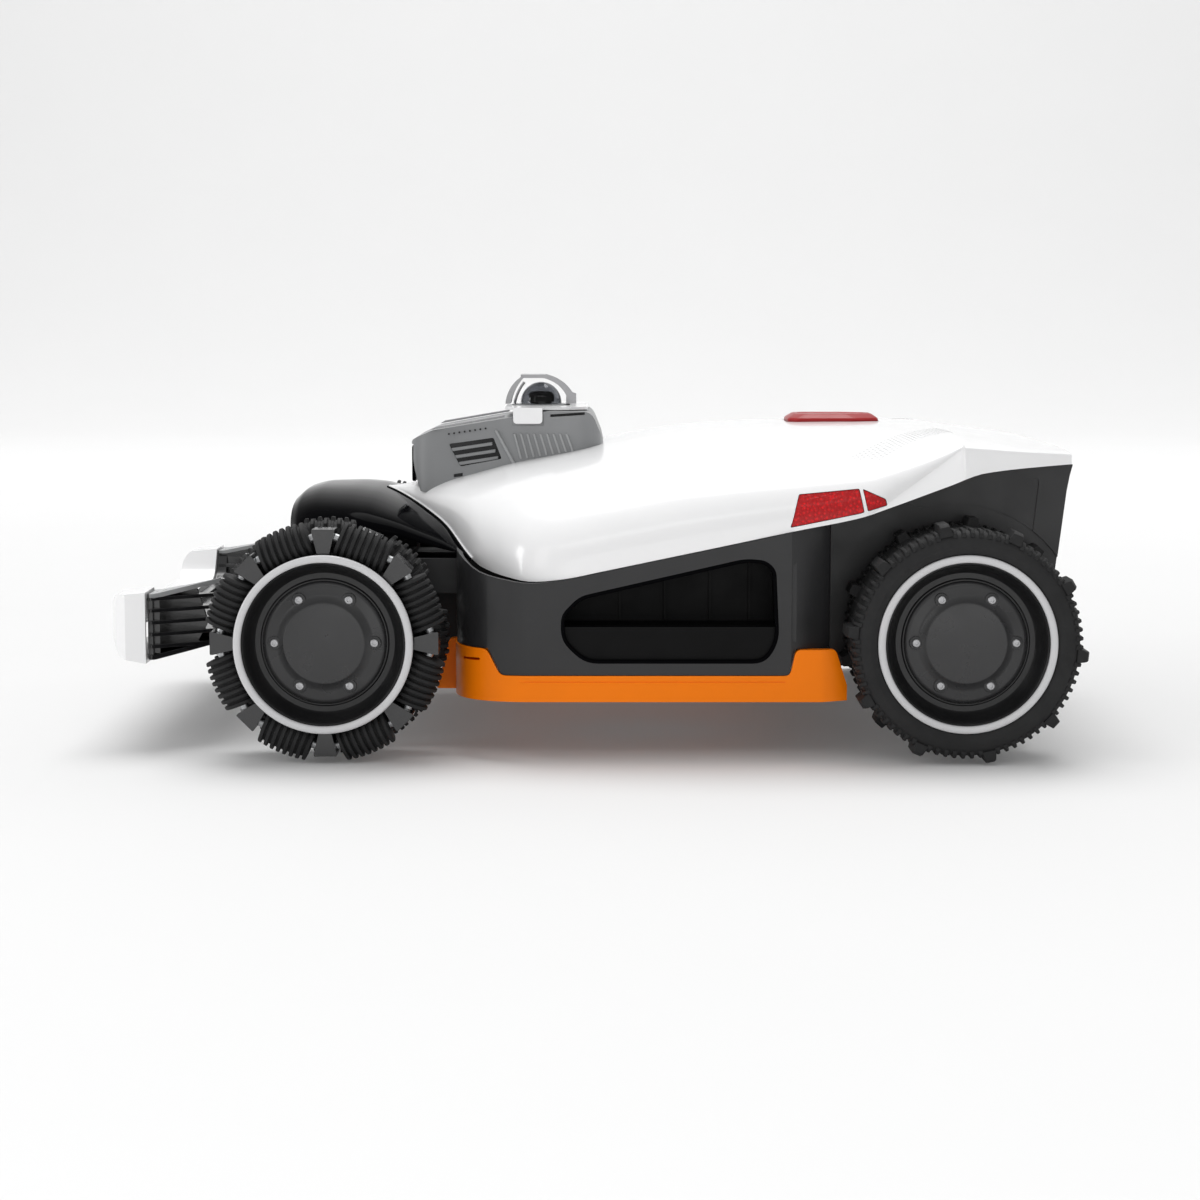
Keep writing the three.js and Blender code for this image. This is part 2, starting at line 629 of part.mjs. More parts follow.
// ---- cutting deck -------------------------------------------------------------------------
function deckCarrier() {
  const plate = planPrism(outline([
    [DECK_X - 98, -130], [DECK_X - 62, -182], [DECK_X + 62, -182], [DECK_X + 98, -130],
    [DECK_X + 98, 130], [DECK_X + 62, 182], [DECK_X - 62, 182], [DECK_X - 98, 130],
  ]), DECK_Z, DECK_Z + 4);
  const motors = [-1, 1].map((s) => rodZ(28, DECK_Z + 3, DECK_Z + 24, DECK_X, s * DISC_Y, 20));
  const posts = [-1, 1].map((s) => rodZ(7, DECK_Z + 3, DECK_Z + 68, DECK_X, s * 150, 16));
  return join(plate, ...motors, ...posts);
}

function cuttingDisc(y) {
  const top = DECK_Z - GAP;
  const under = DECK_Z - 10;
  const disc = solid(turnedZ([
    [0, under], [DISC_R, under], [DISC_R, under + 2], [34, under + 4], [12, under + 5], [12, top],
    [0, top],
  ], 18).translate(DECK_X, y, 0));
  const pins = Array.from({ length: BLADES }, (_, k) => {
    const angle = (k / BLADES) * 2 * Math.PI;
    const px = DECK_X + BLADE_PIVOT_R * Math.cos(angle);
    const py = y + BLADE_PIVOT_R * Math.sin(angle);
    return join(rodZ(3, under - 3, under + 1, px, py, 8), rodZ(5.5, under - 4.4, under - 2.8, px, py, 8));
  });
  return join(disc, ...pins);
}

function bladeSolid(y, k) {
  const under = DECK_Z - 10;
  const shape = outline([
    [-8, -6], [-5, -9], [28, -9], [31.5, -6], [31.5, 6], [28, 9], [-5, 9], [-8, 6],
  ]);
  const hole = new THREE.Path();
  hole.absarc(0, 0, 3.5, 0, 2 * Math.PI, true);
  shape.holes.push(hole);
  const geometry = new THREE.ExtrudeGeometry(shape, { depth: 1.4, bevelEnabled: false, curveSegments: 4 });
  geometry.translate(BLADE_PIVOT_R, 0, under - 2.2).rotateZ((k / BLADES) * 2 * Math.PI);
  return solid(geometry.translate(DECK_X, y, 0));
}

// ---- inner pieces and the stop button -------------------------------------------------------
const stopButton = () => join(
  planPrism(stopShape(0), STOP.base, STOP.top - 3),
  planPrism(stopShape(-3), STOP.base, STOP.top),
);
const batteryPack = () => block(-66, 128, -78, 78, 118, 172);
const mainBoard = () => block(176, 300, -60, 60, 150, 153);

// ---- assembly -----------------------------------------------------------------------------
const mower = new THREE.Group();

function add(name, body, material) {
  const mesh = new THREE.Mesh(geometryOf(body), material);
  mesh.name = name;
  mower.add(mesh);
}

add('chassis_tub', chassisTub(), TUB_BLACK);
add('rear_housing', rearHousing(), SHELL_GREY);
add('top_shell', topShell, WHITE);
add('nose_visor', noseVisor(), GLOSS_BLACK);
add('rear_port_cover', sidePrism(portShape(0), -30, 30), TUB_BLACK);
add('stop_button', stopButton(), RED);
add('battery_pack', batteryPack(), TUB_BLACK);
add('main_board', mainBoard(), SHELL_GREY);
add('head_housing', headHousing(), HEAD_GREY);
add('head_cover', headCover(), WHITE);
add('camera_window', cameraWindow(), GLOSS_BLACK);
add('lidar_dome', lidarDome(), GLASS);
add('lidar_rotor', lidarRotor(), TUB_BLACK);
add('lidar_guard', lidarGuard(), HEAD_GREY);
add('bumper_cover', bumperCover(), WHITE);
add('bumper_frame', bumperFrame(), TUB_BLACK);
add('front_axle_beam', frontAxleBeam(), METAL);
add('deck_carrier', deckCarrier(), ORANGE);

for (const [label, side] of [['left', -1], ['right', 1]]) {
  add(`side_panel_${label}`, onSide(sidePanelLeft(), side), SHELL_GREY);
  add(`skirt_${label}`, onSide(skirtLeft(), side), ORANGE);
  add(`reflector_${label}`, reflector(side), RED);
  add(`rear_motor_${label}`, rearMotor(side), METAL);

  const outward = (body) => (side < 0 ? mirrored(body) : body);
  const rearPlace = (body) => outward(body).translate([REAR_AXLE.x, 0, REAR_AXLE.z]);
  const frontPlace = (body) => outward(body).translate([FRONT_AXLE.x, 0, FRONT_AXLE.z]);
  add(`rear_tyre_${label}`, rearPlace(rearTyre(REAR_AXLE.inner, TRACK_OUT)), RUBBER);
  add(`rear_rim_${label}`, rearPlace(rearRim(REAR_AXLE.inner, TRACK_OUT)), TUB_BLACK);
  add(`rear_hub_cap_${label}`, rearPlace(hubCap(TRACK_OUT)), HUB_GREY);
  add(`front_wheel_${label}`, frontPlace(omniCore(FRONT_AXLE.inner, TRACK_OUT)), TUB_BLACK);
  add(`front_hub_cap_${label}`, frontPlace(hubCap(TRACK_OUT)), HUB_GREY);
  for (let k = 0; k < ROLLERS; k += 1) {
    const barrel = solid(onRim(rollerBarrel(8), rowAngle(k, 0.5), OUTER_ROW_Y));
    add(`roller_${label}_${k + 1}`, frontPlace(barrel), RUBBER);
  }

  add(`cutting_disc_${label}`, cuttingDisc(side * DISC_Y), METAL);
  for (let k = 0; k < BLADES; k += 1) {
    add(`blade_${label}_${k + 1}`, bladeSolid(side * DISC_Y, k), METAL);
  }
}

export default mower;
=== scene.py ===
"""Looks of a robotic lawn mower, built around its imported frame. Tables and shapes are in millimetres,
in the part's frame: front towards -X, left side towards -Y, up +Z. Left pieces are made, then mirrored."""
import math
from bisect import bisect

import bmesh
import bpy
from mathutils import Matrix, Vector


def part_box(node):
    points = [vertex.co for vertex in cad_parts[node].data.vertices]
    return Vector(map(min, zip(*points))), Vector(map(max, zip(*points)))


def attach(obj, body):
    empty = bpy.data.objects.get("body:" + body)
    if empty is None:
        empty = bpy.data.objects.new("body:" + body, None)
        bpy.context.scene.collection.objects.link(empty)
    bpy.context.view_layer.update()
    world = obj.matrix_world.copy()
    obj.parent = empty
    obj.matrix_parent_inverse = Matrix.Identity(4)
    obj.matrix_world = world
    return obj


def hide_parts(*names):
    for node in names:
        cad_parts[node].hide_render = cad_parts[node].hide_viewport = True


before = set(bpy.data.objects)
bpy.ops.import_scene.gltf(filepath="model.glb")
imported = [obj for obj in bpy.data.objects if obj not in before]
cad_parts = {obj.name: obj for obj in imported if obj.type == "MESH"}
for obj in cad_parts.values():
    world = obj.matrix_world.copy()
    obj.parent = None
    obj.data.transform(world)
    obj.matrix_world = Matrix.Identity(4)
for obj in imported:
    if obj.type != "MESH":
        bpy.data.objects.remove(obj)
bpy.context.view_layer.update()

MM = 0.001
TURN = 2 * math.pi
LEFT, RIGHT = -1, 1
SIDES = {LEFT: "left", RIGHT: "right"}


def corners(node):
    """Lowest and highest corner of a CAD node, in millimetres."""
    low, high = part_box(node)
    return low / MM, high / MM


# ---- driving places, from the frame
REAR_LOW, REAR_HIGH = corners("rear_tyre_left")
FRONT_LOW, FRONT_HIGH = corners("front_wheel_left")
STOP_LOW, STOP_HIGH = corners("stop_button")
BUMPER_X = corners("bumper_cover")[0].x
BUMPER_HALF = corners("bumper_cover")[1].y
WHEEL_R = 85.0
REAR_AXLE = ((REAR_LOW.x + REAR_HIGH.x) / 2, WHEEL_R)
FRONT_AXLE = ((FRONT_LOW.x + FRONT_HIGH.x) / 2, WHEEL_R)
OUT, REAR_IN, FRONT_IN = REAR_LOW.y, REAR_HIGH.y, FRONT_HIGH.y
RING_R, HOLE_R = 62.2, 57.0
CAP_R, PLATEAU_R, CAP_DEPTH = 43.0, 30.0, 12.0
SCREWS, SCREW_CIRCLE_R = 6, 34.8
ROLLERS, ROLLER_AXIS_R, ROLLER_LENGTH = 8, 70.0, 38.0
OUTER_ROW_Y, INNER_ROW_Y = -235.5, -196.5
BODY_HALF = 235.0
PANEL_X0, PANEL_X1 = -96.0, 168.0
LIDAR_X = -39.5

# Bonnet stations from its front tip to the tail: (x, half width, edge height, crest height).
BONNET = [
    (-158, 3, 177.5, 179), (-150, 14, 175, 179.8), (-140, 33, 171.6, 181.5), (-125, 65, 165.3, 185),
    (-107, 110, 156, 190), (-91, 160, 142, 193.5), (-85, 176, 137, 195), (-77.5, 190, 132.8, 197),
    (-60.5, 213, 128.6, 201.5), (-42.5, 227, 126.2, 205), (-21.5, 233, 128.1, 209),
    (6.5, 235, 133.8, 214.5), (76, 235, 148.3, 226), (145.5, 233, 162.7, 229.5),
    (189, 227, 171, 230), (207.5, 224, 177, 230), (251.5, 215, 192.2, 228.3), (277.5, 208, 200.8, 225.3),
    (319.5, 198, 205, 219.2), (342, 188, 206.2, 216.4),
]
# Nose stations under the visor, in the same four columns.
NOSE = [
    (-226, 88, 153, 173), (-219, 106, 151, 178.5), (-205, 124, 150, 181.3), (-185, 138, 151, 181.5),
    (-166, 147, 152.5, 179.8), (-158, 149, 152.5, 177.6), (-150, 151, 152.5, 175), (-140, 154, 151.5, 171.6),
    (-125, 158, 147.8, 165.6), (-107, 162.5, 143.2, 157.8), (-91, 168, 140.4, 143.2),
    (-86, 170, 139.4, 141.4),
]
ARCH_ROUND = 2.6
SHELL_WALL = 3.2


# ---- shapes: a shape is (points, faces), in millimetres
def joined(*shapes):
    points, faces = [], []
    for some_points, some_faces in shapes:
        start = len(points)
        points += some_points
        faces += [tuple(i + start for i in face) for face in some_faces]
    return points, faces


def placed(shape, matrix):
    return [matrix @ Vector(p) for p in shape[0]], shape[1]


def shifted(shape, x=0.0, y=0.0, z=0.0):
    return placed(shape, Matrix.Translation((x, y, z)))


def turned(shape, angle, axis):
    return placed(shape, Matrix.Rotation(angle, 4, axis))


def on_side(shape, side):
    """A shape made for the left side, or its mirror image."""
    if side == LEFT:
        return shape
    points, faces = placed(shape, Matrix.Diagonal((1, -1, 1, 1)))
    return points, [tuple(reversed(face)) for face in faces]


def both_sides(*shapes):
    """Left-hand shapes, then their mirror images."""
    return [on_side(shape, side) for side in SIDES for shape in shapes]


def skin(rows, closed=False, looped=False, caps=False):
    """Quads between rows of points; closed joins the ends of a row, looped the last row to the first."""
    count = len(rows[0])
    points = [Vector(p) for row in rows for p in row]
    faces = []
    for i in range(len(rows) if looped else len(rows) - 1):
        a, b = i * count, (i + 1) % len(rows) * count
        for j in range(count if closed else count - 1):
            k = (j + 1) % count
            faces.append((a + j, a + k, b + k, b + j))
    if caps:
        faces.append(tuple(reversed(range(count))))
        faces.append(tuple(range(len(points) - count, len(points))))
    return points, faces


def solid_skin(rows):
    """A closed solid through rings of points."""
    return skin(rows, closed=True, caps=True)


def prism(outline, low, high, axis="y"):
    """An outline pushed along an axis: (x, z) along y, (x, y) along z, or (y, z) along x."""
    place = {
        "y": lambda a, b, c: (a, c, b), "z": lambda a, b, c: (a, b, c), "x": lambda a, b, c: (c, a, b),
    }[axis]
    return solid_skin([[place(a, b, c) for a, b in outline] for c in (low, high)])


def rectangle(a0, a1, b0, b1):
    return [(a0, b0), (a1, b0), (a1, b1), (a0, b1)]


def block(x0, x1, y0, y1, z0, z1):
    return prism(rectangle(x0, x1, y0, y1), z0, z1, "z")


def revolved(profile_at, steps):
    """Closed profiles of (radius, y), one for each step of a turn about the Y axis."""
    rows = []
    for i in range(steps):
        angle = TURN * i / steps
        rows.append([(r * math.cos(angle), y, r * math.sin(angle)) for r, y in profile_at(i)])
    return skin(rows, closed=True, looped=True)


def lathe(profile, steps):
    """A closed profile of (radius, y) turned about the Y axis."""
    return revolved(lambda i: profile, steps)


def upright(shape):
    """Turns a shape made about the Y axis so that its axis is Z, and its +Y points up."""
    return turned(shape, math.pi / 2, "X")


def spaced(first, last, parts):
    """Evenly spaced values from first to last."""
    return [first + (last - first) * k / parts for k in range(parts + 1)]


def bezier(start, bend, end, steps=10):
    """Points from start to end, pulled towards a bend."""
    start, bend, end = Vector(start), Vector(bend), Vector(end)
    return [tuple(start * (1 - t) ** 2 + bend * (2 * t * (1 - t)) + end * t ** 2)
            for t in spaced(0, 1, steps)]


def fillet(points, radius, steps):
    """The outline with its corners rounded; radius is one number or one for each corner."""
    radii = radius if isinstance(radius, list) else [radius] * len(points)
    result = []
    for i, corner in enumerate(points):
        here = Vector(corner)
        before, after = Vector(points[i - 1]) - here, Vector(points[(i + 1) % len(points)]) - here
        reach = min(radii[i], before.length * 0.48, after.length * 0.48)
        if reach < 0.05:
            result.append(tuple(here))
        else:
            start, end = here + before.normalized() * reach, here + after.normalized() * reach
            result += bezier(start, here, end, steps)
    return result


def grown(points, distance):
    """The outline moved outwards by a distance, for an outline given in either direction."""
    area = sum(a[0] * b[1] - b[0] * a[1] for a, b in zip(points, points[1:] + points[:1]))
    side = 1 if area > 0 else -1
    result = []
    for i, corner in enumerate(points):
        here = Vector(corner)
        one = (here - Vector(points[i - 1])).normalized()
        two = (Vector(points[(i + 1) % len(points)]) - here).normalized()
        out = Vector((one.y + two.y, -one.x - two.x)) * side
        lean = max(out.length_squared / 2, 0.3)
        result.append(tuple(here + out * (distance / lean)))
    return result


def mirrored(points):
    """A plan's left half, and its mirror image in reverse order."""
    return points + [(x, -y, *rest) for x, y, *rest in reversed(points)]


def sweep(path, section, closed=False, up=(0, 0, 1)):
    """A section of (across, up) points carried along a path."""
    path = [Vector(p) for p in path]
    rows = []
    for i, here in enumerate(path):
        ahead = path[(i + 1) % len(path)] if closed else path[min(i + 1, len(path) - 1)]
        behind = path[i - 1] if closed or i else path[0]
        along = (ahead - behind).normalized()
        across = along.cross(Vector(up)).normalized()
        rise = across.cross(along)
        rows.append([here + across * a + rise * b for a, b in section])
    return skin(rows, closed=True, looped=closed, caps=not closed)


def oval(half_a, half_b, steps):
    return [(half_a * math.cos(TURN * i / steps), half_b * math.sin(TURN * i / steps)) for i in range(steps)]


def raw_mesh(name, shape, scale=1.0):
    """A clean Blender mesh of a shape: merged, with its normals outwards."""
    mesh = bpy.data.meshes.new(name)
    mesh.from_pydata([tuple(c * scale for c in p) for p in shape[0]], [], shape[1])
    work = bmesh.new()
    work.from_mesh(mesh)
    bmesh.ops.remove_doubles(work, verts=work.verts, dist=2e-3 * scale)
    bmesh.ops.dissolve_degenerate(work, edges=work.edges, dist=1e-3 * scale)
    bmesh.ops.recalc_face_normals(work, faces=work.faces)
    work.to_mesh(mesh)
    work.free()
    return mesh


def linked(name, data):
    """A new object in the scene."""
    obj = bpy.data.objects.new(name, data)
    bpy.context.scene.collection.objects.link(obj)
    return obj


def combined(shape, tool, operation="DIFFERENCE"):
    """The boolean of two closed shapes, as a shape."""
    both = [linked("making", raw_mesh("making", each)) for each in (shape, tool)]
    cut = both[0].modifiers.new("cut", "BOOLEAN")
    cut.operation, cut.object, cut.solver = operation, both[1], "EXACT"
    done = both[0].evaluated_get(bpy.context.evaluated_depsgraph_get()).to_mesh()
    result = ([v.co.copy() for v in done.vertices], [tuple(p.vertices) for p in done.polygons])
    for each in both:
        mesh = each.data
        bpy.data.objects.remove(each)
        bpy.data.meshes.remove(mesh)
    return result


def cut_by(shape, *tools):
    for tool in tools:
        shape = combined(shape, tool)
    return shape


def common(shape, *tools):
    for tool in tools:
        shape = combined(shape, tool, "INTERSECT")
    return shape


def fused(shape, *others):
    for other in others:
        shape = combined(shape, other, "UNION")
    return shape


def bevel_edges(mesh, width, segments, angle):
    """Rounds every edge that bends more than an angle."""
    work = bmesh.new()
    work.from_mesh(mesh)
    edges = [e for e in work.edges if e.is_manifold and e.calc_face_angle(0.0) > angle]
    bmesh.ops.bevel(
        work, geom=edges, offset=width, offset_type="OFFSET", segments=segments, profile=0.5,
        affect="EDGES", clamp_overlap=True,
    )
    work.to_mesh(mesh)
    work.free()


BEVELLED_EXTRA = 12  # more degrees before a bevelled edge shades sharp


def piece(name, shape, look, body="chassis", replaces=None, slot=None, bevel=0.0, segments=2, crease=32):
    """A finished object: meshed, its sharp edges rounded by a bevel width, shaded, and riding on a body.
    It replaces one CAD node or none. The slot argument is not used."""
    material, usual_slot = look
    mesh = raw_mesh(name, shape, MM)
    if bevel:
        bevel_edges(mesh, bevel * MM, segments, math.radians(crease))
    mesh.polygons.foreach_set("use_smooth", [True] * len(mesh.polygons))
    mesh.set_sharp_from_angle(angle=math.radians(crease + BEVELLED_EXTRA if bevel else crease))
    mesh.materials.append(material)
    obj = linked(name, mesh)
    if bevel:
        obj.modifiers.new("even_shading", "WEIGHTED_NORMAL").keep_sharp = True
    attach(obj, body)
    if replaces:
        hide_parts(replaces)


def pair(name, shape, look, body="chassis", replaces="", at=(0.0, 0.0), **finish):
    """A piece on the left side and its mirror image; {} in a name stands for the side, at is (x, z)."""
    shape = shifted(shape, at[0], 0, at[1])
    for side, label in SIDES.items():
        names = [each.format(label) for each in (name, body, replaces)]
        piece(names[0], on_side(shape, side), look, *names[1:], **finish)


# ---- curves through station tables
def smooth_column(table, column):
    """A monotone cubic of x through one column of a station table."""
    xs, ys = [row[0] for row in table], [row[column] for row in table]
    slopes = [(ys[i + 1] - ys[i]) / (xs[i + 1] - xs[i]) for i in range(len(xs) - 1)]
    inner = [2 * a * b / (a + b) if a * b > 0 else 0.0 for a, b in zip(slopes, slopes[1:])]
    tangents = [slopes[0], *inner, slopes[-1]]

    def value(x):
        i = min(max(bisect(xs, x) - 1, 0), len(xs) - 2)
        h = xs[i + 1] - xs[i]
        t = min(max((x - xs[i]) / h, 0.0), 1.0)
        first = (1 + 2 * t) * (1 - t) ** 2 * ys[i] + t * (1 - t) ** 2 * h * tangents[i]
        return first + t * t * (3 - 2 * t) * ys[i + 1] + t * t * (t - 1) * h * tangents[i + 1]

    return value


bonnet_half, bonnet_edge, bonnet_crest = (smooth_column(BONNET, k) for k in (1, 2, 3))
nose_half, nose_edge, nose_crest = (smooth_column(NOSE, k) for k in (1, 2, 3))


def arch(half, base, crest, steps):
    """Points of a rounded arch from -half to +half, over a base height."""
    ring = []
    for i in range(steps + 1):
        t = math.pi * (1 - i / steps)
        y = half * math.copysign(abs(math.cos(t)) ** (2 / ARCH_ROUND), math.cos(t))
        ring.append((y, base + (crest - base) * max(math.sin(t), 0.0) ** (2 / ARCH_ROUND)))
    return ring


# ---- materials
def new_shader(name, **settings):
    """A new material and its Principled shader; _ in a setting's name stands for a space."""
    material = bpy.data.materials.new(name)
    material.use_nodes = True
    shader = material.node_tree.nodes["Principled BSDF"]
    for key, value in settings.items():
        shader.inputs[key.replace("_", " ")].default_value = value
    return material, shader


def node(tree, kind, **settings):
    """A new node with values on its sockets, named in the same way."""
    made = tree.nodes.new(kind)
    for key, value in settings.items():
        made.inputs[key.replace("_", " ")].default_value = value
    return made


def pattern(shader, kind, stretch=None, **settings):
    """A texture over the object's own coordinates, which stretch scales."""
    tree = shader.id_data
    place = node(tree, "ShaderNodeTexCoord").outputs["Object"]
    if stretch:
        mapping = node(tree, "ShaderNodeMapping", Scale=stretch)
        tree.links.new(place, mapping.inputs["Vector"])
        place = mapping.outputs["Vector"]
    made = node(tree, kind, **settings)
    tree.links.new(place, made.inputs["Vector"])
    return made


def noise(shader, scale, detail=3.0, rough=0.55, stretch=None):
    made = pattern(shader, "ShaderNodeTexNoise", stretch, Scale=scale, Detail=detail, Roughness=rough)
    return made.outputs["Fac"]


def vary_roughness(shader, source, low, high, start=0.35, end=0.65):
    """Runs the roughness from low to high while the source value runs from start to end."""
    tree = shader.id_data
    made = node(tree, "ShaderNodeMapRange", From_Min=start, From_Max=end, To_Min=low, To_Max=high)
    tree.links.new(source, made.inputs["Value"])
    tree.links.new(made.outputs["Result"], shader.inputs["Roughness"])


def vary_colour(shader, source, dark, light, start=0.35, end=0.65):
    """Runs the base colour from dark to light while the source value runs from start to end."""
    tree = shader.id_data
    made = node(tree, "ShaderNodeValToRGB")
    for stop, position, colour in zip(made.color_ramp.elements, (start, end), (dark, light)):
        stop.position, stop.color = position, (*colour, 1)
    tree.links.new(source, made.inputs["Fac"])
    tree.links.new(made.outputs["Color"], shader.inputs["Base Color"])


def bump(shader, *sources):
    """Chains bumps of (height socket, strength, distance in metres) into the shader's normal."""
    tree = shader.id_data
    normal = None
    for height, strength, distance in sources:
        made = node(tree, "ShaderNodeBump", Strength=strength, Distance=distance)
        tree.links.new(height, made.inputs["Height"])
        if normal:
            tree.links.new(normal, made.inputs["Normal"])
        normal = made.outputs["Normal"]
    tree.links.new(normal, shader.inputs["Normal"])


def scaled(colour, factor):
    return tuple(c * factor for c in colour)


def moulded(name, colour, rough, spread=0.05, grain=900.0, depth=0.00003, coat=0.0, tint=0.06, gloss=0.5,
            index=1.5):
    """Moulded plastic: a fine spark-eroded grain, faint colour drift and uneven gloss."""
    material, shader = new_shader(
        name, Specular_IOR_Level=gloss, IOR=index, Coat_Weight=coat, Coat_Roughness=0.04)
    vary_colour(shader, noise(shader, 14.0, 4.0), scaled(colour, 1 - tint), scaled(colour, 1 + tint))
    vary_roughness(shader, noise(shader, 45.0, 5.0), rough - spread, rough + spread)
    bump(shader, (noise(shader, grain, 2.0, 0.6), 0.35, depth))
    return material


def rubber(name, colour):
    """Dull rubber with dusty high spots and mould pores."""
    material, shader = new_shader(name, Specular_IOR_Level=0.4)
    dust, pores = noise(shader, 60.0, 6.0, 0.65), noise(shader, 700.0, 3.0)
    vary_colour(shader, dust, scaled(colour, 0.75), scaled(colour, 1.35), 0.3, 0.75)
    vary_roughness(shader, dust, 0.62, 0.85)
    bump(shader, (pores, 0.5, 0.00008), (dust, 0.2, 0.0003))
    return material


def prismatic(name, colour):
    """Retroreflective plastic: small cube corners under a clear glossy skin."""
    material, shader = new_shader(name, Specular_IOR_Level=0.25, Coat_Weight=0.15, Coat_Roughness=0.03)
    cells = pattern(shader, "ShaderNodeTexVoronoi", Scale=420.0)
    cells.feature, cells.distance = "F1", "MANHATTAN"
    depth = cells.outputs["Distance"]
    vary_colour(shader, depth, scaled(colour, 1.1), scaled(colour, 0.55), 0.1, 0.7)
    vary_roughness(shader, depth, 0.12, 0.4, 0.1, 0.6)
    bump(shader, (depth, 0.6, 0.0008))
    return material


def metal(name, colour, rough, stretch=None):
    """Bare metal: cast grain, or brushed lines when the grain is stretched."""
    material, shader = new_shader(name, Metallic=1.0)
    grain = noise(shader, 260.0, 5.0, 0.6, stretch)
    vary_colour(shader, grain, scaled(colour, 0.94), scaled(colour, 1.04))
    vary_roughness(shader, grain, rough - 0.05, rough + 0.07)
    bump(shader, (grain, 0.2, 0.00005))
    return material


def smoked_glass(name):
    """Clear polycarbonate with a smoke tint, thin enough to see through."""
    material, shader = new_shader(name, Transmission_Weight=1.0, IOR=1.25)
    haze = noise(shader, 80.0, 3.0)
    vary_colour(shader, haze, (0.30, 0.31, 0.33), (0.36, 0.37, 0.39))
    vary_roughness(shader, haze, 0.015, 0.05)
    return material


def circuit(name):
    """Green circuit board with copper-coloured tracks."""
    material, shader = new_shader(name, Roughness=0.35)
    tracks = pattern(
        shader, "ShaderNodeTexBrick", Scale=90.0, Color1=(0.02, 0.16, 0.06, 1), Color2=(0.03, 0.22, 0.08, 1),
        Mortar=(0.55, 0.42, 0.16, 1), Mortar_Size=0.012)
    shader.id_data.links.new(tracks.outputs["Color"], shader.inputs["Base Color"])
    bump(shader, (tracks.outputs["Fac"], 0.3, 0.0001))
    return material


def plastic(slot, name, *settings, **more):
    return moulded(name, *settings, **more), slot


# Each look: a material, and the name of its slot.
WHITE = plastic("white_shell", "shell_white", (0.90, 0.90, 0.905), 0.24, 0.012, 500.0, 0.000006,
                coat=0.4, tint=0.004)
SHELL_GREY = plastic("shell_grey", "flank_grey", (0.020, 0.020, 0.021), 0.34, grain=1100.0, gloss=0.4)
TUB_BLACK = plastic("tub_black", "tub_black", (0.011, 0.011, 0.012), 0.58, 0.08, 800.0, 0.00006)
GLOSS_BLACK = plastic("gloss_black", "visor_black", (0.0025, 0.0025, 0.003), 0.08, 0.02, 300.0, 0.000002,
                      gloss=0.04, index=1.2)
POCKET_BLACK = plastic("tub_black", "pocket_black", (0.0030, 0.0030, 0.0032), 0.45, 0.06, 800.0, index=1.2)
ORANGE = plastic("orange_plastic", "skirt_orange", (0.97, 0.215, 0.001), 0.42, 0.04, depth=0.00002,
                 tint=0.02, gloss=0.15)
FRAME_BLACK = plastic("tub_black", "frame_black", (0.010, 0.010, 0.011), 0.22, grain=800.0, gloss=0.8)
# Light grey painted on as a highlight: the lit edges of the head's fins, the lit ridge of its crease and the
# lit tops of the bumper's roofs.
HIGHLIGHT_GREY = plastic("head_grey", "painted_highlight_grey", (0.33, 0.335, 0.34), 0.30, depth=0.00002)
GUARD_GREY = plastic("head_grey", "guard_grey", (0.36, 0.36, 0.37), 0.28, grain=700.0, depth=0.00002)
HEAD_GREY = plastic("head_grey", "head_grey", (0.235, 0.24, 0.245), 0.36)
SIGNAL_RED = plastic("signal_red", "stop_red", (0.34, 0.008, 0.010), 0.34, 0.05, 700.0, 0.00002, gloss=0.3)
WHEEL_BLACK = plastic("wheel_black", "rim_black", (0.007, 0.007, 0.0075), 0.34, 0.06, 700.0)
HUB_GREY = plastic("hub_grey", "hub_grey", (0.026, 0.026, 0.027), 0.30, grain=1000.0)
TRIM = plastic("hub_grey", "trim_grey", (0.60, 0.60, 0.61), 0.34, 0.05, 600.0, 0.00001, coat=0.3, tint=0.02)
REFLECTOR_RED = prismatic("reflector_red", (0.80, 0.010, 0.014)), "reflector_red"
RUBBER = rubber("tyre_rubber", (0.0115, 0.0115, 0.012)), "tyre_rubber"
SCREW_METAL = metal("screw_steel", (0.42, 0.42, 0.43), 0.35), "cast_alloy"
ALLOY = metal("cast_alloy", (0.55, 0.56, 0.57), 0.42), "cast_alloy"
STEEL = metal("blade_steel", (0.66, 0.67, 0.68), 0.26, (1.0, 1.0, 30.0)), "blade_steel"
BOARD = circuit("circuit_green"), "board"
GLASS = smoked_glass("dome_smoke"), "dome_glass"


# ---- wheels, made for the left side around their own axle
FACE = OUT + CAP_DEPTH


def from_plane(plane, *points):
    """Profile points of (radius, y) with y measured from a plane."""
    return [(r, plane + y) for r, y in points]


# The dark bowl behind the trim ring: a stepped cone down to a flat floor behind the cap.
BOWL = from_plane(OUT, (HOLE_R - 2.6, 5.4), (HOLE_R - 4.2, 9.0))
BOWL += from_plane(FACE + 4.4, (50.4, -1.6), (48.6, 0), (CAP_R + 2.0, 0), (CAP_R + 1.0, -1.2),
                   (CAP_R + 0.4, -1.2), (CAP_R + 0.2, 0), (0, 0))


def hub_cap_shape():
    """Cap with a raised flat middle, a sloping step and a rounded outer edge."""
    return lathe(from_plane(
        FACE, (0, -2.8), (PLATEAU_R - 2.6, -2.8), (PLATEAU_R - 1.9, -2.65), (PLATEAU_R - 1.4, -2.2),
        (PLATEAU_R + 2.8, 0.6), (PLATEAU_R + 4.4, 1.2), (CAP_R - 3.4, 1.6), (CAP_R - 1.2, 2.3),
        (CAP_R - 0.3, 3.2), (CAP_R, 4.2), (0, 4.2),
    ), 120)


def screw_shape():
    """Button head with a round socket, its head towards -Y."""
    radius, height = 3.1, 1.4
    return lathe([
        (0, -height * 0.25), (radius * 0.42, -height * 0.25), (radius * 0.46, -height),
        (radius * 0.72, -height), (radius * 0.93, -height * 0.72), (radius, -height * 0.3), (radius, 0.8),
        (0, 0.8),
    ], 24)


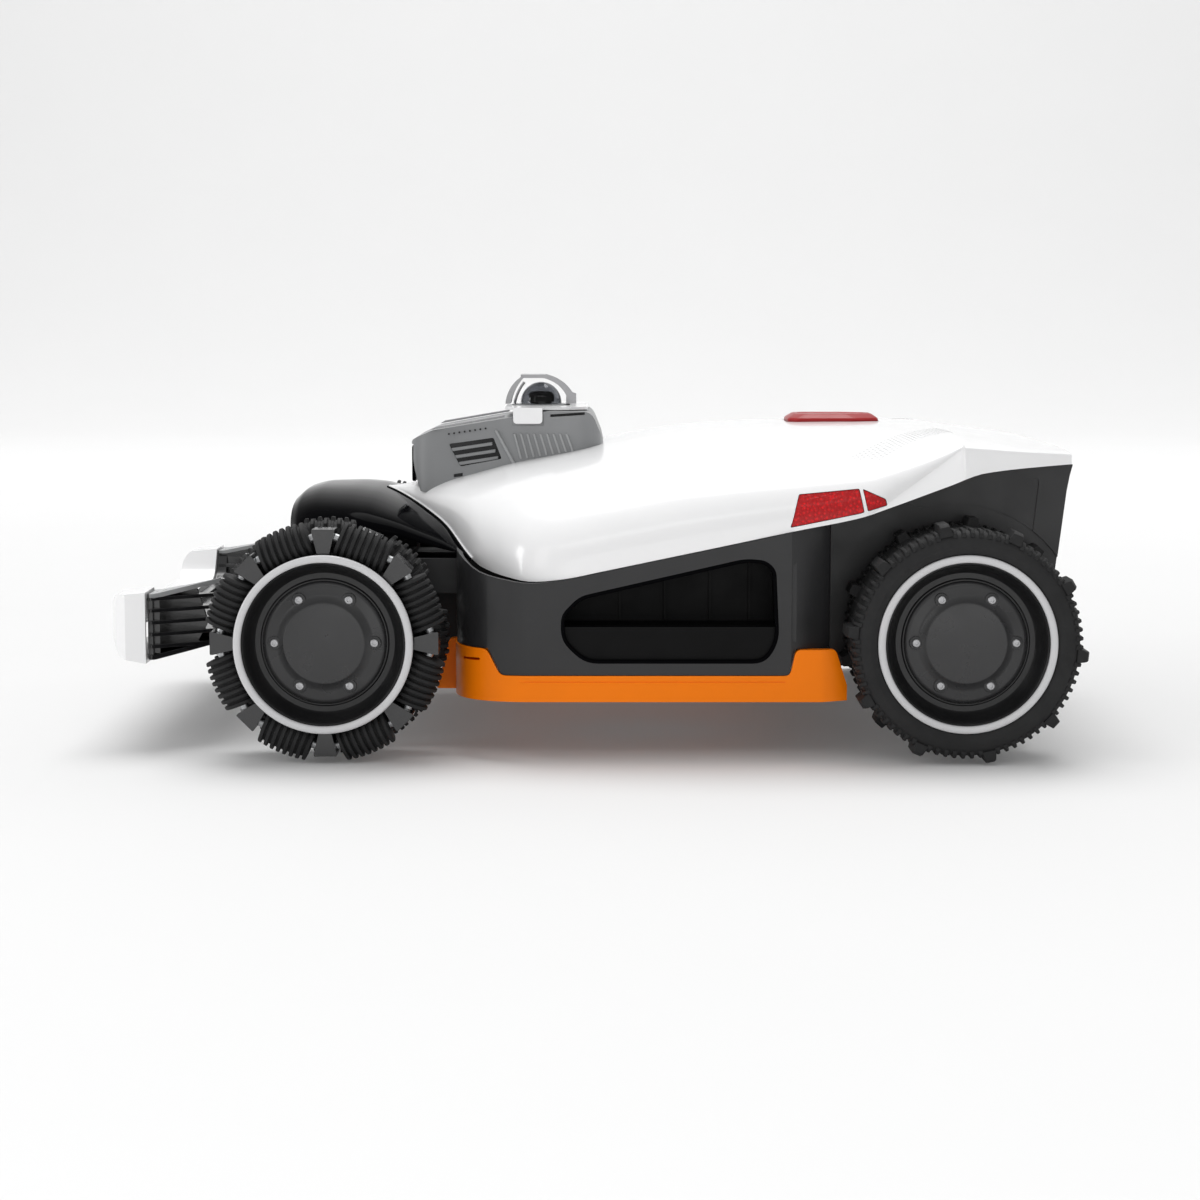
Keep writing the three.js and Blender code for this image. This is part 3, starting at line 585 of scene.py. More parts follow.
def trim_ring_shape():
    return lathe(from_plane(
        OUT, (HOLE_R, 4), (HOLE_R, 1.2), (HOLE_R + 0.7, 0.35), (HOLE_R + 1.6, 0), (RING_R - 1.6, 0),
        (RING_R - 0.6, 0.35), (RING_R, 1.2), (RING_R, 4),
    ), 160)


def wheel_face(corner, axle):
    """What every wheel shows: a trim ring, and a cap with screws on low bosses."""
    body = corner + "_wheel_{}"
    pair(corner + "_trim_ring_{}", trim_ring_shape(), TRIM, body, at=axle, crease=50)
    pair(corner + "_hub_cap_{}_moulding", hub_cap_shape(), HUB_GREY, body, corner + "_hub_cap_{}",
         at=axle, crease=40)
    boss = lathe(from_plane(FACE + 1.0, (0, -1.3), (3.9, -1.3), (4.6, -0.9), (4.9, 0.6), (0, 0.6)), 28)
    places = oval(SCREW_CIRCLE_R, SCREW_CIRCLE_R, SCREWS)
    bosses = [shifted(boss, x, 0, z) for x, z in places]
    screws = [shifted(screw_shape(), x, FACE - 0.3, z) for x, z in places]
    pair(corner + "_hub_bosses_{}", joined(*bosses), HUB_GREY, body, at=axle, crease=40)
    pair(corner + "_hub_screws_{}", joined(*screws), SCREW_METAL, body, at=axle, crease=40)


def spun(shape, angle):
    """Takes a shape from the top of a wheel to an angle on its rim."""
    return turned(shape, math.pi / 2 - angle, "Y")


REAR_LUGS, RIBS_PER_PITCH = 10, 7
REAR_PITCH = TURN / REAR_LUGS
LUG_PHASE = math.radians(-6)
# Tread blocks: foot radius, top radius, foot width, top width, and how far the outer end slopes down.
LUG = (76.0, 84.9, 10.4, 6.8, 1.8)
RIB = (74.6, 80.2, 3.9, 2.4, 2.6)
MIDDLE_RIB = (76.5, 79.6, 3.6, 2.6, 0.8)


def tread_block(kind, y0, y1, angle):
    """A tread block from its outer end, y0, to its inner end, y1."""
    foot_r, top_r, foot, top, slope = kind
    foot_x, top_x = foot / 2, top / 2
    rows = []
    for y, radius in ((y0, top_r - slope), (y0 + (y1 - y0) * 0.18, top_r), (y1, top_r)):
        rows.append([(-foot_x, y, foot_r), (foot_x, y, foot_r), (top_x, y, radius), (-top_x, y, radius)])
    return spun(solid_skin(rows), angle)


def rear_tread():
    """Two staggered rows of lugs with fine ribs between them."""
    rows = ((OUT, 1, 0.0), (REAR_IN, -1, REAR_PITCH / 2))
    blocks = []
    for k in range(REAR_LUGS):
        angle = LUG_PHASE + k * REAR_PITCH
        for edge, inward, lag in rows:
            blocks.append(tread_block(LUG, edge + inward * 1.6, edge + inward * 30, angle + lag))
        for j in range(1, RIBS_PER_PITCH + 1):
            turn = j / (RIBS_PER_PITCH + 1) * REAR_PITCH
            for edge, inward, lag in rows:
                blocks.append(tread_block(RIB, edge + inward * 1.3, edge + inward * 18, angle + lag + turn))
            if j % 2:
                blocks.append(tread_block(MIDDLE_RIB, OUT + 24, OUT + 44, angle + turn))
    return joined(*blocks)


def tyre_carcass():
    outer_half = from_plane(
        OUT, (60.4, 8.6), (RING_R + 0.5, 3.6), (RING_R + 0.5, 2.0), (64.0, 1.1), (66.4, 0.9), (67.0, 0.5),
        (68.2, 0.4), (72.6, 1.0), (75.6, 2.4), (77.6, 4.8), (78.4, 8.0), (78.6, 16.0))
    inner_half = from_plane(
        REAR_IN, (78.6, -16.0), (78.4, -8.0), (77.0, -3.4), (74.0, -1.2), (68.0, 0), (62.5, -1.6),
        (60.4, -5.0))
    return lathe(outer_half + inner_half, 180)


def rear_rim():
    """The bowl, the drum behind it and the hub at the back."""
    lip = from_plane(OUT, (RING_R - 0.4, 3.2), (HOLE_R, 3.2), (HOLE_R - 0.2, 2.0), (HOLE_R - 1.0, 1.6),
                     (HOLE_R - 1.7, 2.4))
    back = from_plane(REAR_IN, (0, -20), (13, -20), (13, 0), (34, 0), (36, -8), (55, -8), (60.0, -4.4))
    return lathe([*lip, *BOWL, *back, (60.0, OUT + 8)], 120)


def rear_wheels():
    body = "rear_wheel_{}"
    pair("rear_tyre_carcass_{}", tyre_carcass(), RUBBER, body, "rear_tyre_{}", at=REAR_AXLE)
    pair("rear_tyre_tread_{}", rear_tread(), RUBBER, body, at=REAR_AXLE, bevel=0.5, segments=1)
    pair("rear_rim_bowl_{}", rear_rim(), WHEEL_BLACK, body, "rear_rim_{}", at=REAR_AXLE)
    wheel_face("rear", REAR_AXLE)


RIBS, RIB_GROOVE, RIB_SHARE = 8, 2.7, 0.66
ROLLER_STEPS, ROLLER_CORE_R, ROLLER_GAP = 40, 8.0, 0.15


def roller_shape(knobbly=False):
    """A barrel whose ribs run round it; the knobbly one has its ribs broken into staggered blocks."""
    half, pitch = ROLLER_LENGTH / 2, ROLLER_LENGTH / RIBS
    rib = pitch * RIB_SHARE

    def profile_at(step):
        profile = [(0, -half + 0.6), (ROLLER_CORE_R, -half + 0.6)]
        for k in range(RIBS):
            start = -half + k * pitch + (pitch - rib) / 2
            low = knobbly and (step // 2 + (k % 2) * 2) % 4 < 2
            drop = RIB_GROOVE * 0.85 if low else 0.0
            for y, sink in ((start, RIB_GROOVE), (start + 0.25, 0.5 + drop), (start + 0.7, drop),
                            (start + rib - 0.7, drop), (start + rib - 0.25, 0.5 + drop),
                            (start + rib, RIB_GROOVE)):
                barrel = math.sqrt(WHEEL_R ** 2 - y * y) - ROLLER_AXIS_R - ROLLER_GAP
                profile.append((barrel - min(sink, RIB_GROOVE), y))
        return profile + [(ROLLER_CORE_R, half - 0.6), (0, half - 0.6)]

    return revolved(profile_at, ROLLER_STEPS)


def on_rim(shape, angle, row_y):
    """Places a roller or its pin, made along Y, on the rim circle with its axis along the rim."""
    shape = shifted(turned(shape, math.pi / 2, "Z"), z=ROLLER_AXIS_R)
    return shifted(spun(shape, angle), y=row_y)


def bracket_shape(angle, row_y):
    """Wedge that holds the ends of two rollers."""
    wedge = fillet([(-3.7, 57), (3.7, 57), (4.0, 61), (8.0, 77.4), (8.0, 79.4), (-8.0, 79.4), (-8.0, 77.4),
                    (-4.0, 61)], [0, 0, 0, 1.0, 0.8, 0.8, 1.0, 0], 3)
    return shifted(spun(prism(wedge, -11, 11), angle), y=row_y)


def omni_drum():
    """The front wheel's own body: the bowl, and a drum with a web between the two rows of rollers."""
    lip = from_plane(OUT, (RING_R - 0.4, 4.1), (HOLE_R, 4.1), (HOLE_R, 2.6), (HOLE_R - 1.0, 1.9),
                     (HOLE_R - 1.7, 2.6))
    back = from_plane(FRONT_IN, (0, -20), (13, -20), (13, 0), (30, 0), (33, -2), (50, -2.4), (54, -0.6),
                      (56.6, -1.0), (56.8, -3.0))
    web = from_plane((OUTER_ROW_Y + INNER_ROW_Y) / 2, (54.6, 4), (60, 2.4), (60, -2.4), (54, -4))
    return lathe([*lip, *BOWL, *back, *web, (54, OUT + 7)], 120)


def front_wheels():
    """Drum, brackets, pins and two staggered rows of rollers, of which the outer row turns."""
    body = "front_wheel_{}"
    pair("front_wheel_drum_{}", omni_drum(), WHEEL_BLACK, body, "front_wheel_{}", at=FRONT_AXLE)
    pin = lathe([(0, -21.5), (3.2, -21.5), (3.2, 21.5), (0, 21.5)], 16)
    brackets, inner_rollers, pins = [], [], []
    for k in range(ROLLERS):
        even, odd = TURN * k / ROLLERS, TURN * (k + 0.5) / ROLLERS
        brackets += [bracket_shape(even, OUTER_ROW_Y), bracket_shape(odd, INNER_ROW_Y)]
        inner_rollers.append(on_rim(roller_shape(knobbly=True), even, INNER_ROW_Y))
        pins += [on_rim(pin, odd, OUTER_ROW_Y), on_rim(pin, even, INNER_ROW_Y)]
        roller = "roller_{}_" + str(k + 1)
        pair(roller + "_rubber", on_rim(roller_shape(), odd, OUTER_ROW_Y), RUBBER, roller, roller,
             at=FRONT_AXLE)
    pair("front_wheel_brackets_{}", joined(*brackets), FRAME_BLACK, body, at=FRONT_AXLE, slot="wheel_black",
         bevel=0.7)
    pair("front_wheel_inner_row_{}", joined(*inner_rollers), RUBBER, body, at=FRONT_AXLE)
    pair("front_wheel_pins_{}", joined(*pins), ALLOY, body, at=FRONT_AXLE)
    wheel_face("front", FRONT_AXLE)


# ---- bonnet
FACET_X0, FACET_PEAK_X, FACET_X1 = 196.0, 262.5, 342.0
FACET_PEAK_Z, FACET_END_Z = 217.5, 212.4
FACET_COLUMNS, ARCH_COLUMNS = 3, 72
REFLECTOR_FRONT = [(145.5, 187), (187.4, 190.6), (190.6, 174.9), (187, 174), (139.5, 165)]
REFLECTOR_REAR = [(190.6, 190.2), (193.5, 189), (206, 183.5), (207, 179.5), (193.7, 175.8)]
LENS_COLUMNS = 34
SEAM_END_X = -85


def facet_height(x):
    """Height of the crease that bounds the tail's flat side facets; the bonnet's edge ahead of them."""
    if x <= FACET_X0:
        return bonnet_edge(x)
    if x <= FACET_PEAK_X:
        t = (x - FACET_X0) / (FACET_PEAK_X - FACET_X0)
        line = bonnet_edge(FACET_X0) + (FACET_PEAK_Z - bonnet_edge(FACET_X0)) * t
    else:
        t = (x - FACET_PEAK_X) / (FACET_X1 - FACET_PEAK_X)
        line = FACET_PEAK_Z + (FACET_END_Z - FACET_PEAK_Z) * t
    return max(min(line, bonnet_crest(x) - 1.0), bonnet_edge(x))


def bonnet_section(x, inset=0.0):
    """(y, z) points across the bonnet at x, from its left edge to its right edge."""
    half, edge, crest = max(bonnet_half(x) - inset, 0.4), bonnet_edge(x), bonnet_crest(x) - inset
    top = facet_height(x)
    lean = 0.62 if x <= FACET_PEAK_X else 0.34
    shoulder = max(half - lean * (top - edge), 0.3)
    flank = list(zip(spaced(-half, -shoulder, FACET_COLUMNS), spaced(edge, top, FACET_COLUMNS)))[:-1]
    crown = arch(shoulder, top, max(crest, top + 0.2), ARCH_COLUMNS)
    return flank + crown + [(-y, z) for y, z in reversed(flank)]


def bonnet_ring(x, outside, inside, columns=None):
    """A ring at x between two depths under the bonnet's surface; columns keeps the left flank only."""
    outer = [(x, y, z) for y, z in bonnet_section(x, outside)[:columns]]
    inner = [(x, y, z) for y, z in bonnet_section(x, inside)[:columns]]
    return outer + inner[::-1]


def bonnet_stations():
    """Places along X, closer together at the front, with the facets' corners among them."""
    first, middle, last = BONNET[0][0], -60, BONNET[-1][0]
    front = [first + (k / 24) ** 1.2 * (middle - first) for k in range(24)]
    fixed = [FACET_X0, FACET_PEAK_X]
    xs = sorted(front + spaced(middle, last, 72) + fixed)
    return [x for i, x in enumerate(xs) if i == 0 or x - xs[i - 1] > 0.4 or x in fixed]


def stop_outline(grow):
    """Plan of the stop button: a long block, pointed a little towards the tail."""
    x0, x1, half = STOP_LOW.x - grow, STOP_HIGH.x + grow, STOP_HIGH.y + grow
    points = [(x0, -half + 8), (x0 + 7, -half), (x1 - 20, -half), (x1, -half + 12),
              (x1, half - 12), (x1 - 20, half), (x0 + 7, half), (x0, half - 8)]
    return fillet(points, 3.0, 3)


def reflector_prisms(grow):
    return joined(*[prism(fillet(grown(outline, grow), 1.2, 3), -262, -186)
                    for outline in (REFLECTOR_FRONT, REFLECTOR_REAR)])


def bonnet_point(x, share):
    """A point on the left half of the bonnet: share runs from its edge, 0, to its crest, 1."""
    section = bonnet_section(x)
    spot = share * (len(section) - 1) / 2
    i = int(spot)
    (y0, z0), (y1, z1) = section[i:i + 2]
    return Vector((x, y0 + (y1 - y0) * (spot - i), z0 + (z1 - z0) * (spot - i)))


def bonnet_normal(x, share):
    along = bonnet_point(x + 1.5, share) - bonnet_point(x - 1.5, share)
    across = bonnet_point(x, share + 0.01) - bonnet_point(x, share - 0.01)
    return along.cross(across).normalized() * -1


def grip_dots():
    """A diagonal band of small raised dots above and behind the reflector."""
    dots = []
    rows, lanes = 26, 7
    for i in range(rows):
        for j in range(lanes):
            x = 186 + i * 2.9 + j * 1.1
            share = 0.47 + i * 0.0130 - j * 0.019
            size = 1.05 - 0.45 * abs(j - (lanes - 1) / 2) / lanes
            turn = bonnet_normal(x, share).to_track_quat("Z", "Y").to_matrix().to_4x4()
            dot = upright(lathe([(0, 0.42), (size * 0.5, 0.34), (size, -0.2), (0, -0.2)], 8))
            dots.append(placed(dot, Matrix.Translation(bonnet_point(x, share)) @ turn))
    return joined(*dots)


def seam_path(grow, lift):
    """The front edge of the bonnet from left to right, along the visor's rim."""
    xs = spaced(SEAM_END_X, BONNET[0][0], 48)
    return mirrored([(x - grow, -bonnet_half(x) - grow * 0.5, bonnet_edge(x) + lift) for x in xs])


def bonnet():
    """White shell with openings for the button and the reflectors; bead and gasket at its front edge."""
    shell = solid_skin([bonnet_ring(x, 0.0, SHELL_WALL) for x in bonnet_stations()])
    shell = cut_by(shell, prism(stop_outline(0.9), 205, 245, "z"), *both_sides(reflector_prisms(0.45)))
    piece("bonnet_shell", shell, WHITE, replaces="top_shell", crease=24)
    strip = solid_skin([bonnet_ring(136 + k * 3.0, 0.5, 3.4, LENS_COLUMNS) for k in range(26)])
    pair("reflector_lens_{}", common(strip, reflector_prisms(0.0)), REFLECTOR_RED, replaces="reflector_{}",
         bevel=0.35, segments=1)
    pair("bonnet_grip_dots_{}", grip_dots(), WHITE)
    piece("bonnet_front_bead", sweep(seam_path(0.2, 0.9), oval(0.9, 0.8, 8)), WHITE)
    piece("bonnet_front_gasket", sweep(seam_path(1.5, 0.2), oval(1.0, 1.2, 8)), GLOSS_BLACK)


def stop_button():
    """Button with rounded shoulders and a shallow dish on top."""
    rows = [[(x, y, STOP_LOW.z) for x, y in stop_outline(0.0)]]
    for depth, inset in ((4.6, 0.0), (3.4, 0.7), (0.5, 5.0), (0.1, 6.2), (0.1, 9.0), (0.7, 9.9), (0.7, 11.0)):
        rows.append([(x, y, STOP_HIGH.z - depth) for x, y in stop_outline(-inset)])
    piece("stop_button_cap", solid_skin(rows), SIGNAL_RED, "stop_button", "stop_button", crease=22)


# ---- flanks and skirts
FRONT_CORNER = 52.0
WINDOW = [(-20, 103.3), (-7.5, 116), (108, 142.4), (122, 141), (128.5, 134.9), (130.9, 85.8), (122, 70.2),
          (-4, 70.2), (-20.1, 85.8)]
WINDOW_ROUND = [5, 6, 8, 8, 6, 8, 9, 9, 8]
POCKET_BACK, LEDGE_FRONT, LEDGE_TOP = -193.0, -231.6, 95.0


def flank_plan(inset, inner_y, x1=PANEL_X1):
    """Plan of a flank between the wheels: a straight side with a round front corner."""
    x0, y = PANEL_X0 + inset, -(BODY_HALF - inset)
    corner = bezier((x0, y + FRONT_CORNER), (x0 + 3, y + 3), (x0 + FRONT_CORNER, y), 20)
    return [(x0, -inner_y), *corner, (x1 - 28, y), (x1 - 6, y + 11), (x1, y + 17), (x1, -inner_y)]


def window(grow):
    return fillet(grown(WINDOW, grow), WINDOW_ROUND, 5)


def side_face():
    """The panel's outline in X and Z: the skirt's stepped top below, the bonnet's edge above."""
    steps = [(-72.4, 79.5), (-62.8, 61.2), (138.7, 61.2), (142.8, 79.5)]
    top = [(x, bonnet_edge(x) - 0.5) for x in reversed(spaced(PANEL_X0, PANEL_X1, 44))]
    return [(PANEL_X0, 79.5), *steps, (PANEL_X1, 79.5), *top]


def side_panels():
    """Flanks between the wheels, each with a carrying pocket: its lip, liner, dark ledge and ribs."""
    whole = common(prism(side_face(), -250, -176), prism(flank_plan(0, 177), 40, 200, "z"))
    hollow = prism(flank_plan(4, 170, PANEL_X1 - 4), 40, 200, "z")
    dimple = prism(fillet([(140.5, 84), (163, 84), (163, 131), (157, 140), (140.5, 140)], 4, 3), -240, -233.2)
    panel = cut_by(whole, hollow, prism(window(0), -262, -200), dimple)
    pair("side_panel_{}_skin", panel, SHELL_GREY, replaces="side_panel_{}", bevel=0.7, crease=26)
    rim = [(x, -BODY_HALF + 0.9, z) for x, z in window(-0.4)]
    pair("pocket_lip_{}", sweep(rim, oval(1.5, 1.5, 10), closed=True, up=(0, 1, 0)), GLOSS_BLACK)
    front = LEDGE_FRONT - 1.0
    wall = combined(prism(window(2.2), front, POCKET_BACK + 2.0), prism(window(-0.2), front - 6, POCKET_BACK))
    pair("pocket_liner_{}", wall, POCKET_BLACK, crease=40)
    below = prism(rectangle(-40, 150, 60, LEDGE_TOP), LEDGE_FRONT, POCKET_BACK - 1)
    ledge = common(prism(window(-0.5), LEDGE_FRONT, POCKET_BACK - 1), below)
    pair("pocket_ledge_{}", ledge, POCKET_BLACK, slot="gloss_black", bevel=1.4, segments=3)
    ribs = [block(x, x + 1.6, POCKET_BACK - 3.2, POCKET_BACK + 0.4, LEDGE_TOP + 1, 139)
            for x in (20, 52, 84, 112)]
    pair("pocket_ribs_{}", common(joined(*ribs), prism(window(-1.5), -240, -180)), POCKET_BLACK)


def skirts():
    """Orange sills: a band round each flank's foot with raised ends, a toe ahead, a groove and a slot."""
    outline = fillet(
        [(-98, 79.1), (-73, 79.1), (-63.4, 60.8), (139.3, 60.8), (143.4, 79.1), (171.5, 79.1), (183.5, 42.4),
         (-98, 42.4)], [0, 3.5, 4, 4, 4, 3.5, 3, 0], 4)
    inside = prism(flank_plan(8, 150, 220), 20, 100, "z")
    band = combined(prism(flank_plan(-1, 160, 190), 30, 90, "z"), inside)
    toe = fillet([(-102.5, 79.1), (-90, 79.1), (-90, 42.4), (-112, 42.4)], [3.5, 0, 0, 2], 4)
    groove = prism(rectangle(-58, 136, 56.2, 57.0), -240, -(BODY_HALF + 0.5))
    slot = prism(fillet([(-90, 70), (-78, 70.6), (-78, 72.4), (-90, 71.8)], 0.6, 2), -238, -205)
    body = fused(common(prism(outline, -250, -150), band), prism(toe, -167, -159))
    body = cut_by(body, groove, slot)
    pair("skirt_{}_band", body, ORANGE, replaces="skirt_{}", bevel=1.3, segments=3, crease=30)


# ---- nose
def visor_shape():
    """The gloss nose cap: an arched skin, 3 mm thick, that ends along the bonnet's front edge."""
    first, last = NOSE[0][0], NOSE[-1][0]
    rings = []
    for k in range(61):
        x = first + (k / 60) ** 1.5 * (last - first)
        half, edge, crest = nose_half(x), nose_edge(x), nose_crest(x)
        shift = 0.0 if k else 3.0
        inner = [(x + shift, y, z) for y, z in reversed(arch(half - 3, edge, crest - 3, 84))]
        rings.append([(x, y, z) for y, z in arch(half, edge, crest, 84)] + inner)
    return solid_skin(rings)


def nose_face():
    """Closes the front of the nose with a softly bulged panel that leans under the visor."""
    x0, half, edge, crest = NOSE[0]
    middle = (edge + crest) / 2
    outline = arch(half, edge, crest, 60) + [(y, edge) for y in (half * 0.6, 0.0, -half * 0.6)]
    rows = []
    for depth, scale in ((0.0, 1.0), (0.0, 0.96), (0.6, 0.86), (1.6, 0.5), (2.0, 0.02)):
        rows.append([(x0 + 0.4 + depth, y * scale, middle + (z - middle) * scale) for y, z in outline])
    return skin(rows, closed=True)


def nose():
    xs = spaced(BONNET[0][0], BONNET[9][0], 60)
    under_bonnet = mirrored([(x - 0.6, -bonnet_half(x) - 0.6) for x in xs])
    shell = combined(visor_shape(), prism(under_bonnet, 100, 240, "z"))
    piece("nose_visor_shell", shell, GLOSS_BLACK, replaces="nose_visor", crease=34)
    piece("nose_front_panel", nose_face(), GLOSS_BLACK)


# ---- tail
def tail_housing():
    """Dark box between the rear wheels, under the bonnet's tail, with a hatch over the contacts."""
    x0 = 172.5
    top = [(x, bonnet_edge(x) - 0.6) for x in spaced(x0, 337, 24)]
    back = [(345.6, 205), (343.5, 197), (341.5, 186), (334.5, 128), (327, 60)]
    body = prism([(x0, 60), *top, *back], -172, 172)
    wheel_arch = prism([(REAR_AXLE[0] + x, REAR_AXLE[1] + z) for x, z in oval(92, 92, 64)], -180, -169.5)
    panel = prism(fillet([(214, 178), (252, 190), (322, 196), (316, 140), (250, 172)], 5, 3), -180, -170.9)
    recess = prism(rectangle(330, 346, 148.5, 182), -31.4, 31.4)
    vents = [prism(rectangle(318, 346, z, z + 3), y, y + 34)
             for z in (92, 100, 108) for y in (-88, -44, 10, 54)]
    body = cut_by(body, *both_sides(wheel_arch, panel), recess, *vents)
    piece("tail_housing", body, SHELL_GREY, replaces="rear_housing", bevel=1.1)
    cover = fillet(rectangle(-30, 30, 149.8, 180.6), 4, 4)
    rows = []
    for depth, grow in ((-7.0, 0.0), (-0.7, 0.0), (0.0, -0.8), (0.0, -3.4), (-1.0, -4.2), (-1.0, -12.0)):
        rows.append([(343.6 + depth - (181 - z) * 0.13, y, z) for y, z in grown(cover, grow)])
    piece("charge_hatch", solid_skin(rows), TUB_BLACK, replaces="rear_port_cover")
    contacts = [block(341.0, 343.0, y - 4, y + 4, 160, 172) for y in (-12, 12)]
    piece("charge_contacts", joined(*contacts), STEEL, bevel=0.5)


# ---- sensor head
HEAD_HALF = 70.0
HEAD_SIDE = [(-138, 216), (-135.6, 195), (-130.5, 178), (-112, 174), (9, 180), (9, 217), (0, 239),
             (-31.5, 239.4), (-65, 234), (-121, 224.5), (-134, 218.6)]
HEAD_ROUND = [2, 6, 0, 0, 0, 6, 7, 3, 3, 3, 3]
HEAD_PLAN = [(-139.5, -30), (-137.5, -44), (-131, -54), (-116, -60.5), (-96, -65.2), (-72, -68.6),
             (-50, -HEAD_HALF), (-14, -HEAD_HALF), (-2, -67), (6, -59), (9, -44)]
LOUVRE = [(-108, 214.4), (-74, 219.4), (-67.8, 203.4), (-99.5, 197.4)]
SLATS = [((-106.5, 210.0), (-75.0, 214.8)), ((-103.2, 204.7), (-72.6, 209.4)),
         ((-100.6, 199.6), (-70.6, 204.2))]
TOP_SLOT = ((-31, 236.0), (-5, 237.6))
PLATE_Z0, PLATE_Z1 = 239.9, 242.0


def bar(start, end, width):
    """A slanted bar's outline in X and Z."""
    (x0, z0), (x1, z1) = start, end
    return [(x0, z0 - width / 2), (x1, z1 - width / 2), (x1, z1 + width / 2), (x0, z0 + width / 2)]


def head_body():
    """The head's outline from the side and from above, cut off along the bonnet and the nose."""
    body = common(prism(fillet(HEAD_SIDE, HEAD_ROUND, 4), -90, 90),
                  prism(fillet(mirrored(HEAD_PLAN), 9, 4), 140, 260, "z"))
    rings = []
    for x in spaced(-170, 30, 20):
        bonnet_x = max(x, BONNET[0][0])
        section = arch(bonnet_half(bonnet_x) + 6, 100, bonnet_crest(bonnet_x) - 0.8, 40)
        rings.append([(x, y, z) for y, z in [*section, (150, 90), (-150, 90)]])
    return combined(body, solid_skin(rings))


def head():
    """Sensor head: a shell with louvres, and fins, a crease and a row of dots on its flanks."""
    louvre = fillet(LOUVRE, 1.5, 3)
    tab_seat = fillet(rectangle(-60, -36, 228.4, 245), 1, 2)
    low_slot = fillet([(-104.6, 189), (-97.6, 190), (-97.6, 192.6), (-104.6, 191.6)], 0.4, 2)
    cuts = both_sides(prism(louvre, -90, -64.0), prism(bar(*TOP_SLOT, 2.0), -90, -62),
                      prism(tab_seat, -90, -69.0), prism(low_slot, -90, -61))
    body = cut_by(head_body(), *cuts, block(-150, -134.4, -45, 45, 183.6, 213.4))
    piece("head_shell", body, HEAD_GREY, replaces="head_housing", bevel=1.0, segments=3, crease=28)
    # Black sheets at the floors of the shallow louvre and slots: painted shade standing in for the dark depth
    # of open vents.
    vent_shade = joined(prism(louvre, -64.2, -62.0), prism(bar(*TOP_SLOT, 1.8), -66, -61),
                     prism([(-104.2, 189.3), (-98, 190.2), (-98, 192.3), (-104.2, 191.3)], -63, -60))
    pair("head_vent_backing_{}", vent_shade, TUB_BLACK)
    opening = prism(grown(LOUVRE, -0.3), -90, -50)
    slats = [common(prism(bar(start, end, 2.5), -66.6, -62.4), opening) for start, end in SLATS]
    pair("head_slats_{}", joined(*slats), HEAD_GREY, bevel=0.5)
    fins = []
    for k in range(9):
        x = -59.0 + k * 4.9
        fin = [(x, 222.5), (x + 1.7, 222.7), (x + 6.6, 203.5 + k * 0.7), (x + 4.9, 203.3 + k * 0.7)]
        fins.append(prism(fin, -(HEAD_HALF + 1.1), -(HEAD_HALF - 2.5)))
    # The fins are light grey as a painted highlight for their lit edges.
    pair("head_fins_{}", joined(*fins), HIGHLIGHT_GREY, bevel=0.35, segments=1)
    # The crease ridge is light grey as a painted highlight along its lit edge.
    crease_line = [(-73.2, 224.7), (-71.2, 225.0), (-57.0, 199.4), (-59.4, 198.8)]
    pair("head_crease_{}", prism(crease_line, -70.9, -66.5), HIGHLIGHT_GREY, bevel=0.6)
    dot = lathe([(0, -0.5), (0.7, -0.4), (0.8, 0.6), (0, 0.6)], 10)
    dots = [shifted(dot, -108 + 4 * k, -(64.6 + 0.45 * k), 222.0 + 0.62 * k) for k in range(8)]
    pair("head_dots_{}", joined(*dots), TUB_BLACK)


def camera_front():
    """Gloss window with two ringed lenses, on the head's face."""
    pane = prism(fillet(rectangle(-43.5, 43.5, 184.6, 212.4), 5, 4), -137.6, -134.8, "x")
    piece("camera_pane", pane, GLOSS_BLACK, replaces="camera_window", bevel=0.8)
    ring = turned(lathe([(6.2, 0.5), (6.2, -0.4), (8.4, -0.4), (9.0, 0.5)], 40), -math.pi / 2, "Z")
    lens = turned(lathe([(0, -0.35), (3.0, -0.2), (6.0, 0.4), (0, 0.4)], 32), -math.pi / 2, "Z")
    piece("camera_rings", joined(*[shifted(ring, -137.6, y, 199) for y in (-24, 24)]), HUB_GREY)
    piece("camera_lenses", joined(*[shifted(lens, -137.5, y, 199) for y in (-24, 24)]), GLASS)


def head_top():
    """White plate with hooked tabs, the raised seat of the range finder, and a seam ahead of the plate."""
    outline = fillet(mirrored([(-66, -50), (-58, -58), (-15, -58), (-3, -44)]), 4, 3)
    tab_top = block(-59, -37, -71.1, -54, PLATE_Z0, PLATE_Z1)
    tab_side = prism(fillet(rectangle(-59, -37, 230, PLATE_Z1), [3, 3, 0, 0], 4), -71.1, -68.8)
    plate = fused(prism(outline, PLATE_Z0, PLATE_Z1, "z"), *both_sides(tab_top, tab_side))
    piece("head_top_plate", plate, WHITE, replaces="head_cover", bevel=0.8, segments=3)
    seat = lathe([
        (0, 241.6), (23, 241.6), (23, 242.3), (22, 242.7), (17.4, 242.7), (17.2, 242.5), (0, 242.5),
    ], 64)
    piece("range_seat", shifted(upright(seat), LIDAR_X), HEAD_GREY)
    seam = [(-122, 225.0), (-66, 234.6), (-66, 236.2), (-118, 227.4)]
    pair("head_top_seam_{}", prism(seam, -62.5, -57), GUARD_GREY, bevel=0.4)


